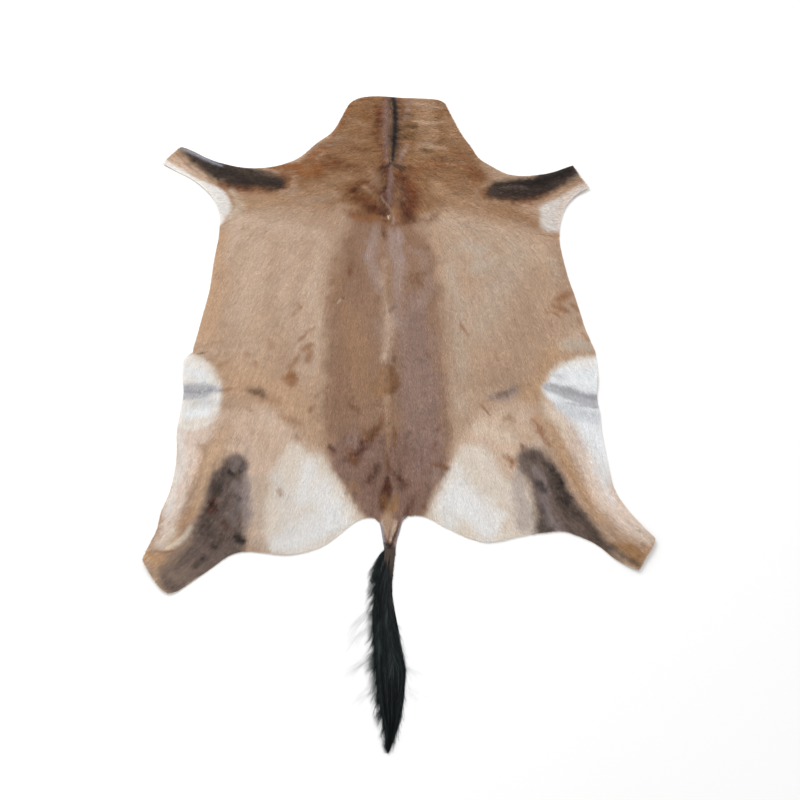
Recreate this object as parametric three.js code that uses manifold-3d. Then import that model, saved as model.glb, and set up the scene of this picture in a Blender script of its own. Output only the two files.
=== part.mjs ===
// Hartebeest hide rug, lying hair side up on its flesh side.
// Millimetres, +Z up, the neck toward +Y and the tail toward -Y, the underside at z = 0.
// The origin is under the middle of the whole rug's box.

import * as THREE from 'three';
import { mergeVertices } from 'three/addons/utils/BufferGeometryUtils.js';
import Module from 'manifold-3d';

// Driving dimensions of the skin
const LEATHER = 2.2; // tanned skin without its hair
const COAT = 2.0; // depth of the short hair as it lies
const BARE_EDGE = 26; // the coat thins out over this width toward the cut edge
const OUTLINE_STEP = 18; // length of one straight piece of the cut edge
const GRID_STEP = 38; // spacing of the points that carry the folds
const CUT_MARGIN = 1; // the outline's prism passes the skin's two faces by this much
const SAME_POINT = 1e-4; // points nearer than this are one point

// Driving dimensions of the tail
const PART_GAP = 0.3; // between the tongue and the dock
const TONGUE_END_Y = -464;
const DOCK_END_Y = -760;
const DOCK_WIDTH = 27;
const DOCK_TIP_WIDTH = 8;
const DOCK_HEIGHT = 9;
const DOCK_SIDES = 10;
const DOCK_STEPS = 12;
const DOCK_ROUNDING = 0.6; // under 1 makes the top of the dock flatter and its sides steeper
const TUFT_END_Y = -946;
const LAST_ROOT_Y = -746; // the last hair grows at the dock's tip

// Driving dimensions of the hair locks
const LOCK_PITCH = 3.3; // from one lock to the next in a layer
const LOCK_WIDTH = 2.6;
const LOCK_HEIGHT = 1.5;
const LOCK_TIP = 0.35; // width of a lock's tip as a share of its full width
const LOCK_TAPER = 3; // a lock keeps its width for most of its length and thins out near the tip
const LAYER_STEP = 1.85; // from one layer of locks to the next
const LAYERS = 4;
const LOCK_STEPS = 6;
const LOCK_SPREAD = 90; // length over which a lock moves out from the dock to its own lane
const LOCK_UNEVEN = 9; // locks end up to this much sooner or later than their neighbours
const LOCK_ROOT_DEPTH = 2.5; // how deep a root sits in the dock
const LOCK_ROOT_RISE = 0.24; // how far each layer's roots move toward the middle of the dock

// The cut edge, clockwise from the left corner of the neck. A run goes from corner to corner, and
// the skin curves smoothly between the points of one run.
const EDGE_RUNS = [
  { name: 'neck', points: [[-120, 916], [-97, 934], [-45, 942], [5, 936], [80, 933], [140, 928],
    [154, 924], [163, 915]] },
  { name: 'right shoulder', points: [[163, 915], [170, 895], [182, 866], [210, 800], [236, 757],
    [260, 711], [300, 682], [332, 659], [376, 650], [450, 660], [492, 672], [529, 686]] },
  { name: 'right foreleg cut', points: [[529, 686], [540, 654], [558, 623], [571, 606]] },
  { name: 'right side', points: [[571, 606], [536, 586], [505, 555], [486, 518], [477, 468],
    [478, 400], [491, 320], [510, 240], [528, 150], [549, 83], [551, 25], [544, -41], [548, -95],
    [549, -160], [556, -227], [567, -297], [583, -337], [608, -374], [657, -439]] },
  { name: 'right hind leg cut', points: [[657, -439], [646, -464], [628, -489], [610, -519]] },
  { name: 'right rump', points: [[610, -519], [592, -511], [554, -487], [515, -452], [467, -429],
    [436, -416], [379, -421], [321, -431], [247, -444], [205, -436], [165, -418], [129, -400],
    [95, -379], [64, -374], [44, -380], [35, -392], [30, -416], [23, -440]] },
  { name: 'tongue', points: [[23, -440], [20, TONGUE_END_Y]] },
  { name: 'tongue end', points: [[20, TONGUE_END_Y], [-9, TONGUE_END_Y]] },
  { name: 'left rump', points: [[-9, TONGUE_END_Y], [-14, -429], [-19, -398], [-30, -384],
    [-52, -379], [-76, -388], [-118, -423], [-150, -449], [-180, -463], [-242, -476],
    [-304, -471], [-350, -469], [-384, -477], [-428, -510], [-490, -557], [-512, -572]] },
  { name: 'left hind leg cut', points: [[-512, -572], [-530, -574], [-542, -568], [-568, -538],
    [-597, -493]] },
  { name: 'left side', points: [[-597, -493], [-583, -446], [-571, -413], [-564, -361],
    [-551, -322], [-542, -273], [-539, -221], [-544, -149], [-540, -84], [-535, -41], [-543, 24],
    [-543, 58]] },
  { name: 'left flank nick', points: [[-543, 58], [-535, 68], [-521, 79]] },
  { name: 'left chest', points: [[-521, 79], [-511, 150], [-491, 270], [-484, 383], [-476, 476],
    [-481, 530], [-510, 585], [-559, 633], [-657, 693]] },
  { name: 'left foreleg cut', points: [[-657, 693], [-632, 723], [-604, 747]] },
  { name: 'left shoulder', points: [[-604, 747], [-574, 736], [-522, 709], [-471, 692], [-427, 682],
    [-380, 679], [-306, 693], [-252, 725], [-216, 768], [-173, 804], [-148, 848], [-120, 916]] },
];

// Places where the skin lifts from the floor. A fold is an oval hump, turned from +X in degrees.
const FOLDS = [
  { name: 'left flank roll', x: -520, y: -8, length: 150, width: 52, turn: 4, height: 9 },
  { name: 'left flank tuck', x: -560, y: 66, length: 120, width: 48, turn: 12, height: 8 },
  { name: 'right flank roll', x: 540, y: -12, length: 160, width: 52, turn: -9, height: 9 },
  { name: 'right flank edge', x: 585, y: -190, length: 170, width: 60, turn: 92, height: 6 },
  { name: 'left foreleg curl', x: -640, y: 765, length: 190, width: 80, turn: -26, height: 13 },
  { name: 'left foreleg tip', x: -690, y: 715, length: 110, width: 80, turn: 40, height: 12 },
  { name: 'right foreleg curl', x: 590, y: 650, length: 150, width: 90, turn: 24, height: 12 },
  { name: 'left armpit', x: -500, y: 590, length: 120, width: 62, turn: -48, height: 7 },
  { name: 'right armpit', x: 500, y: 555, length: 110, width: 60, turn: 50, height: 6 },
  { name: 'left hind leg curl', x: -600, y: -520, length: 150, width: 90, turn: 122, height: 14 },
  { name: 'right hind leg curl', x: 655, y: -470, length: 150, width: 90, turn: 58, height: 13 },
  { name: 'neck lift', x: 40, y: 975, length: 260, width: 90, turn: -3, height: 6 },
  { name: 'left rump edge', x: -255, y: -505, length: 190, width: 62, turn: -2, height: 6 },
  { name: 'right rump edge', x: 260, y: -475, length: 190, width: 62, turn: 3, height: 6 },
  { name: 'left shoulder swell', x: -300, y: 600, length: 190, width: 110, turn: -20, height: 4 },
  { name: 'right shoulder swell', x: 300, y: 590, length: 190, width: 110, turn: 22, height: 4 },
  { name: 'left thigh swell', x: -390, y: -300, length: 210, width: 120, turn: 70, height: 5 },
  { name: 'right thigh swell', x: 400, y: -270, length: 200, width: 120, turn: 112, height: 5 },
];

// The spread of the tail's hair at each place down the tail: the lie of the dock and how far the hair
// reaches to the left and to the right of it.
const TUFT_SECTIONS = [
  { y: -464, dock: 5.5, left: 14, right: 14 },
  { y: -505, dock: 2, left: 33, right: 14 },
  { y: -550, dock: -1, left: 45, right: 14 },
  { y: -600, dock: 0, left: 49, right: 18 },
  { y: -650, dock: 4, left: 56, right: 22 },
  { y: -700, dock: 9, left: 59, right: 27 },
  { y: -750, dock: 12, left: 53, right: 31 },
  { y: -800, dock: 12, left: 50, right: 26 },
  { y: -850, dock: 11, left: 40, right: 25 },
  { y: -900, dock: 7, left: 25, right: 17 },
  { y: TUFT_END_Y, dock: 3, left: 3, right: 3 },
];

// The two sides of the dock: the hair starts higher up on the left one.
const TUFT_SIDES = [
  { column: 'left', way: -1, firstRootY: -470 },
  { column: 'right', way: 1, firstRootY: -590 },
];

const wasm = await Module();
wasm.setup();

const hideMaterial = new THREE.MeshStandardMaterial({ color: 0xc39c7c, roughness: 0.78, metalness: 0 });
const tailMaterial = new THREE.MeshStandardMaterial({ color: 0x1c1d1f, roughness: 0.55, metalness: 0 });

// Closed mesh to solid: only the positions are kept, and shared points are merged.
function toSolid(geometry) {
  const bare = new THREE.BufferGeometry();
  bare.setAttribute('position', geometry.getAttribute('position').clone());
  if (geometry.index) bare.setIndex(geometry.index.clone());
  const merged = mergeVertices(bare, SAME_POINT);
  return new wasm.Manifold(new wasm.Mesh({
    numProp: 3,
    vertProperties: new Float32Array(merged.getAttribute('position').array),
    triVerts: new Uint32Array(merged.index.array),
  }));
}

function toGeometry(solid) {
  const mesh = solid.getMesh();
  const geometry = new THREE.BufferGeometry();
  geometry.setAttribute('position', new THREE.BufferAttribute(mesh.vertProperties, 3));
  geometry.setIndex(new THREE.BufferAttribute(mesh.triVerts, 1));
  geometry.computeVertexNormals();
  return geometry;
}

// Height of a smooth hump at a share t of its half width.
function hump(t) {
  const inside = Math.max(0, 1 - t * t);
  return inside * inside;
}

// How far the underside of the skin is off the floor at a place.
function lift(x, y) {
  let height = 0;
  for (const fold of FOLDS) {
    const turn = THREE.MathUtils.degToRad(fold.turn);
    const dx = x - fold.x;
    const dy = y - fold.y;
    const along = (dx * Math.cos(turn) + dy * Math.sin(turn)) / fold.length;
    const across = (dy * Math.cos(turn) - dx * Math.sin(turn)) / fold.width;
    height = Math.max(height, fold.height * hump(Math.hypot(along, across)));
  }
  return height;
}

// The cut edge as points, each run smooth and its two ends sharp.
function cutEdge() {
  const points = [];
  for (const run of EDGE_RUNS) {
    const corners = run.points.map(([x, y]) => new THREE.Vector3(x, y, 0));
    const curve = new THREE.CatmullRomCurve3(corners, false, 'centripetal');
    const steps = Math.max(1, Math.round(curve.getLength() / OUTLINE_STEP));
    points.push(...curve.getSpacedPoints(steps).slice(0, steps));
  }
  return points.map((point) => new THREE.Vector2(point.x, point.y));
}

// Depth of the hair at a place: full inside, thin at the cut edge.
function coatDepth(x, y, edge) {
  let nearest = Infinity;
  for (const point of edge) {
    nearest = Math.min(nearest, Math.hypot(point.x - x, point.y - y));
  }
  return COAT * THREE.MathUtils.smoothstep(nearest, 0, BARE_EDGE);
}

// The skin: a slab whose two faces follow the folds, cut to the outline.
function hideGeometry() {
  const edge = cutEdge();
  const box = new THREE.Box2().setFromPoints(edge).expandByScalar(GRID_STEP);
  const size = box.getSize(new THREE.Vector2());
  const middle = box.getCenter(new THREE.Vector2());
  const columns = Math.round(size.x / GRID_STEP);
  const rows = Math.round(size.y / GRID_STEP);
  const slab = new THREE.BoxGeometry(size.x, size.y, 1, columns, rows, 1);
  slab.translate(middle.x, middle.y, 0);
  const position = slab.getAttribute('position');
  for (let i = 0; i < position.count; i += 1) {
    const x = position.getX(i);
    const y = position.getY(i);
    const onTop = position.getZ(i) > 0;
    const thickness = onTop ? LEATHER + coatDepth(x, y, edge) : 0;
    position.setZ(i, lift(x, y) + thickness);
  }
  const tallest = Math.max(...FOLDS.map((fold) => fold.height)) + LEATHER + COAT;
  const prism = new THREE.ExtrudeGeometry(new THREE.Shape(edge), {
    depth: tallest + 2 * CUT_MARGIN,
    bevelEnabled: false,
  });
  prism.translate(0, 0, -CUT_MARGIN);
  return toGeometry(toSolid(slab).intersect(toSolid(prism)));
}

// A value of the tail's table at a place down the tail.
function tuftAt(y, column) {
  const rows = TUFT_SECTIONS;
  let i = 0;
  while (i < rows.length - 2 && y < rows[i + 1].y) i += 1;
  const share = THREE.MathUtils.clamp((rows[i].y - y) / (rows[i].y - rows[i + 1].y), 0, 1);
  return THREE.MathUtils.lerp(rows[i][column], rows[i + 1][column], share);
}

function dockShare(y) {
  return THREE.MathUtils.clamp((TONGUE_END_Y - y) / (TONGUE_END_Y - DOCK_END_Y), 0, 1);
}

function dockWidth(y) {
  return THREE.MathUtils.lerp(DOCK_WIDTH, DOCK_TIP_WIDTH, dockShare(y));
}

// Joins rings of points, each with the same number of points, into one closed body.
function loft(rings) {
  const sides = rings[0].length;
  const points = rings.flat();
  const faces = [];
  for (let r = 0; r < rings.length - 1; r += 1) {
    for (let s = 0; s < sides; s += 1) {
      const a = r * sides + s;
      const b = r * sides + ((s + 1) % sides);
      faces.push(a, b, b + sides, a, b + sides, a + sides);
    }
  }
  const last = (rings.length - 1) * sides;
  for (let s = 1; s < sides - 1; s += 1) {
    faces.push(0, s + 1, s, last, last + s, last + s + 1);
  }
  const geometry = new THREE.BufferGeometry().setFromPoints(points);
  geometry.setIndex(faces);
  return geometry;
}

// The dock: the tail's own skin, flat below and round on top, tapering from the tongue's end.
function dockGeometry() {
  const rings = [];
  const start = TONGUE_END_Y - PART_GAP;
  for (let i = 0; i <= DOCK_STEPS; i += 1) {
    const y = THREE.MathUtils.lerp(start, DOCK_END_Y, i / DOCK_STEPS);
    const width = dockWidth(y);
    const ring = [];
    for (let s = 0; s < DOCK_SIDES; s += 1) {
      const angle = Math.PI * (s / (DOCK_SIDES - 1));
      const x = tuftAt(y, 'dock') + (width / 2) * Math.cos(angle);
      ring.push(new THREE.Vector3(x, y, DOCK_HEIGHT * Math.sin(angle) ** DOCK_ROUNDING));
    }
    rings.push(ring);
  }
  return loft(rings);
}

// How far the hair reaches at most on one side of the dock.
function widestReach(side) {
  return Math.max(...TUFT_SECTIONS.map((row) => row[side.column]));
}

// One lock of hair: three sides, flat below, from its root in the dock along its own lane.
function lockGeometry(side, lane, layer) {
  const stagger = (layer % 2) * (LOCK_PITCH / 2);
  const offset = side.way * LOCK_PITCH * (lane + 0.5) + stagger;
  const outward = Math.abs(offset) / widestReach(side);
  const rootY = THREE.MathUtils.lerp(LAST_ROOT_Y, side.firstRootY, outward) - LOCK_ROOT_DEPTH * layer;
  const room = (y) => tuftAt(y, side.column) - LOCK_WIDTH / 2 - Math.abs(offset);
  let endY = rootY - LOCK_SPREAD;
  while (endY > TUFT_END_Y && room(endY - 1) > 0) endY -= 1;
  endY = Math.max(TUFT_END_Y, endY - LOCK_UNEVEN * Math.sin(7 * lane + 3 * layer + side.way));
  const insideDock = (dockWidth(rootY) / 2 - LOCK_ROOT_DEPTH) * (1 - LOCK_ROOT_RISE * layer);
  const rootOffset = side.way * Math.min(Math.abs(offset), insideDock);
  const base = LAYER_STEP * layer;
  const rings = [];
  for (let i = 0; i <= LOCK_STEPS; i += 1) {
    const share = i / LOCK_STEPS;
    const y = THREE.MathUtils.lerp(rootY, endY, share);
    const out = THREE.MathUtils.smoothstep((rootY - y) / LOCK_SPREAD, 0, 1);
    const x = tuftAt(y, 'dock') + THREE.MathUtils.lerp(rootOffset, offset, out);
    const taper = THREE.MathUtils.lerp(1, LOCK_TIP, share ** LOCK_TAPER);
    const half = (LOCK_WIDTH / 2) * taper;
    rings.push([
      new THREE.Vector3(x + half, y, base),
      new THREE.Vector3(x, y, base + LOCK_HEIGHT * taper),
      new THREE.Vector3(x - half, y, base),
    ]);
  }
  return loft(rings);
}

// The tail: dock and locks in one body, fused only at the roots.
function tailGeometry() {
  let body = toSolid(dockGeometry());
  for (let layer = 0; layer < LAYERS; layer += 1) {
    for (const side of TUFT_SIDES) {
      const lanes = Math.floor(widestReach(side) / LOCK_PITCH - 0.5);
      for (let lane = 0; lane < lanes; lane += 1) {
        body = body.add(toSolid(lockGeometry(side, lane, layer)));
      }
    }
  }
  return toGeometry(body);
}

const rug = new THREE.Group();
rug.name = 'hartebeest_hide_rug';

const hide = new THREE.Mesh(hideGeometry(), hideMaterial);
hide.name = 'hide';
rug.add(hide);

const tail = new THREE.Mesh(tailGeometry(), tailMaterial);
tail.name = 'tail';
rug.add(tail);

export default rug;
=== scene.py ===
import math
from collections import namedtuple

import bmesh
import bpy
import numpy as np
from bpy.props import FloatProperty, FloatVectorProperty, IntProperty, PointerProperty
from bpy.types import Operator, Panel, PropertyGroup
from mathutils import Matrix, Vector
from mathutils.bvhtree import BVHTree
from mathutils.geometry import delaunay_2d_cdt


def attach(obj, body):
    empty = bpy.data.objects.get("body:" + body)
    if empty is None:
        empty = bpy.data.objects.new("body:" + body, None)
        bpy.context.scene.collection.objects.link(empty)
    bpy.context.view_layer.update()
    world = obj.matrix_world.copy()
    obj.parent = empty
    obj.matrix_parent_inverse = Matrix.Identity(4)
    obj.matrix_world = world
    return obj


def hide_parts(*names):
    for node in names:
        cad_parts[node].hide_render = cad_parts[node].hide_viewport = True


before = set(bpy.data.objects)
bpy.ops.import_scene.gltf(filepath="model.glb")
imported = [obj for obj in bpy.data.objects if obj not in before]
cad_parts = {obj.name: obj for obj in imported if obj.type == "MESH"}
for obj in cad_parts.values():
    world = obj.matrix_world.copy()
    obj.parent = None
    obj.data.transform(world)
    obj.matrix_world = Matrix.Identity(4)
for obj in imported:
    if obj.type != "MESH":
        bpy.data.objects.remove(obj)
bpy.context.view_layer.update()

bl_info = {
    "name": "Hartebeest hide rug",
    "version": (1, 0, 0),
    "blender": (4, 5, 0),
    "location": "3D View > Sidebar > Hide rug",
    "description": "A hartebeest hide with its coat and tail, lying hair side up on a pale floor",
    "category": "Add Mesh",
}

# Places on the hide are in millimetres: the neck is toward +Y, the tail toward -Y and the middle of the
# back near x = 0. Meshes are in metres.
MM = 0.001
SEED = 20
SAME_POINT = 1e-5
SHARP_TURN = math.radians(30)  # a corner of the cut edge, which stays sharp
STRAIGHT_TURN = math.radians(0.4)  # points with less turn than this lie on a straight stretch
EDGE_ROUNDS = 6  # passes that smooth the cut edge between its corners
HEIGHT_ROUNDS = 14  # passes that smooth the folds
ROUNDED_CUTS = 2  # corner cuts that round a patch's outline
GRAIN_CELLS = 256


def srgb(red, green, blue):
    """A colour of a photograph, 0 to 255, as Blender's linear colour."""
    shares = [channel / 255 for channel in (red, green, blue)]
    return tuple(s / 12.92 if s <= 0.04045 else ((s + 0.055) / 1.055) ** 2.4 for s in shares)


# Colours of the coat
COAT_COLOURS = {
    "tan": srgb(190, 160, 135),
    "pale_tan": srgb(203, 175, 150),
    "warm_tan": srgb(204, 169, 137),
    "deep_tan": srgb(176, 146, 122),
    "ochre": srgb(168, 131, 100),
    "neck_brown": srgb(150, 110, 76),
    "neck_pale": srgb(168, 134, 108),
    "pale_ochre": srgb(178, 142, 111),
    "greige": srgb(192, 171, 152),
    "rust": srgb(116, 66, 38),
    "light_rust": srgb(150, 97, 57),
    "deep_rust": srgb(80, 42, 28),
    "gold_brown": srgb(160, 120, 80),
    "saddle_brown": srgb(154, 121, 98),
    "saddle_deep": srgb(138, 103, 79),
    "dusky_brown": srgb(130, 98, 83),
    "mauve_brown": srgb(152, 125, 114),
    "mauve": srgb(170, 145, 133),
    "violet": srgb(176, 155, 150),
    "violet_brown": srgb(140, 113, 108),
    "plum_brown": srgb(112, 78, 64),
    "bark": srgb(120, 80, 52),
    "foot_brown": srgb(142, 112, 98),
    "night": srgb(22, 22, 23),
    "olive": srgb(112, 82, 50),
    "cream": srgb(226, 212, 193),
    "blush": srgb(214, 190, 170),
    "peach": srgb(232, 214, 200),
    "white": srgb(238, 234, 229),
    "cool_white": srgb(236, 238, 240),
    "pale_grey": srgb(214, 215, 219),
    # grey, and in part steel, slate and pale_grey, are painted shade in the folds across the white flank
    # patches; slate is also the painted gloss on the left foreleg
    "grey": srgb(184, 183, 187),
    "slate": srgb(158, 161, 172),
    "steel": srgb(142, 141, 147),
    "lilac": srgb(142, 127, 124),
    "taupe": srgb(108, 92, 85),
    "umber": srgb(76, 61, 53),
    "soot": srgb(88, 76, 68),
    "black": srgb(38, 32, 29),
    "dark_coat": srgb(64, 52, 46),
    # teal is a painted glint on the black hair of the right foreleg
    "teal_glint": srgb(58, 72, 72),
    "gold": srgb(198, 160, 121),
    "gold_tan": srgb(214, 181, 148),
    "tip_brown": srgb(142, 121, 107),
    "ash": srgb(194, 178, 162),
    "ash_pink": srgb(188, 174, 165),
    "bone": srgb(223, 215, 209),
    "linen": srgb(226, 215, 202),
    "milk": srgb(233, 230, 227),
    "spot": srgb(160, 118, 86),
}

# One marking of the coat. Points with two numbers are the outline of a patch, and points with three
# numbers are the path of a band with its half width. soft is the width over which the marking fades,
# ragged is how far its edge wanders, both in millimetres, and strength is how much of the colour below
# it hides.
# Some markings are painted light: gloss and glints on the hair, sheen beside the nape stripe, and shade in
# the folds.
Mark = namedtuple("Mark", "name colour soft strength ragged points")

# The markings were placed on the photograph, so their points and half widths are in its pixels, from its
# upper left corner. These values lay them onto the floor under the camera.
PICTURE_MIDDLE = 400  # pixels from an edge of the picture to its middle
PICTURE_FOCUS = 1111.0  # the lens in pixels of this picture
CAMERA_TILT = math.radians(65)  # above the floor
CAMERA_DISTANCE = 2.9  # metres from the middle of the picture on the floor
MIDDLE_X = 30  # the place on the hide in the middle of the picture, in millimetres
MIDDLE_Y = -58
PIXEL_WIDTH = 2.7  # millimetres of the hide in one pixel
WIDE_BAND = 8  # half widths from here on are whole millimetres
FLECK_STRETCH = 1.4
FLECK_MARGIN = 0.5
FLECK_SOFTNESS = 1.35


def fleck(name, colour, soft, strength, ragged, points):
    """A small marking, made broader and softer than it was placed, because the hairs break it up."""
    wider = [(across, down, round(FLECK_STRETCH * wide + FLECK_MARGIN, 1)) for across, down, wide in points]
    return Mark(name, colour, round(FLECK_SOFTNESS * soft), strength, ragged, wider)


def on_hide(across, down):
    """The place on the hide under a pixel of the photograph, in whole millimetres."""
    right = (across - PICTURE_MIDDLE) / PICTURE_FOCUS
    up = (PICTURE_MIDDLE - down) / PICTURE_FOCUS
    sine, cosine = math.sin(CAMERA_TILT), math.cos(CAMERA_TILT)
    reach = CAMERA_DISTANCE * sine / (sine - up * cosine)
    x = 1000 * reach * right + MIDDLE_X
    y = 1000 * (-CAMERA_DISTANCE * cosine + reach * (cosine + up * sine)) + MIDDLE_Y
    return round(x), round(y)


def laid_out(mark):
    """A marking with its points and half widths in millimetres on the hide."""
    points = []
    for across, down, *half_width in mark.points:
        wide = [PIXEL_WIDTH * pixels for pixels in half_width]
        wide = [round(width) if width >= WIDE_BAND else round(width, 1) for width in wide]
        points.append((*on_hide(across, down), *wide))
    return mark._replace(points=points)


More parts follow.
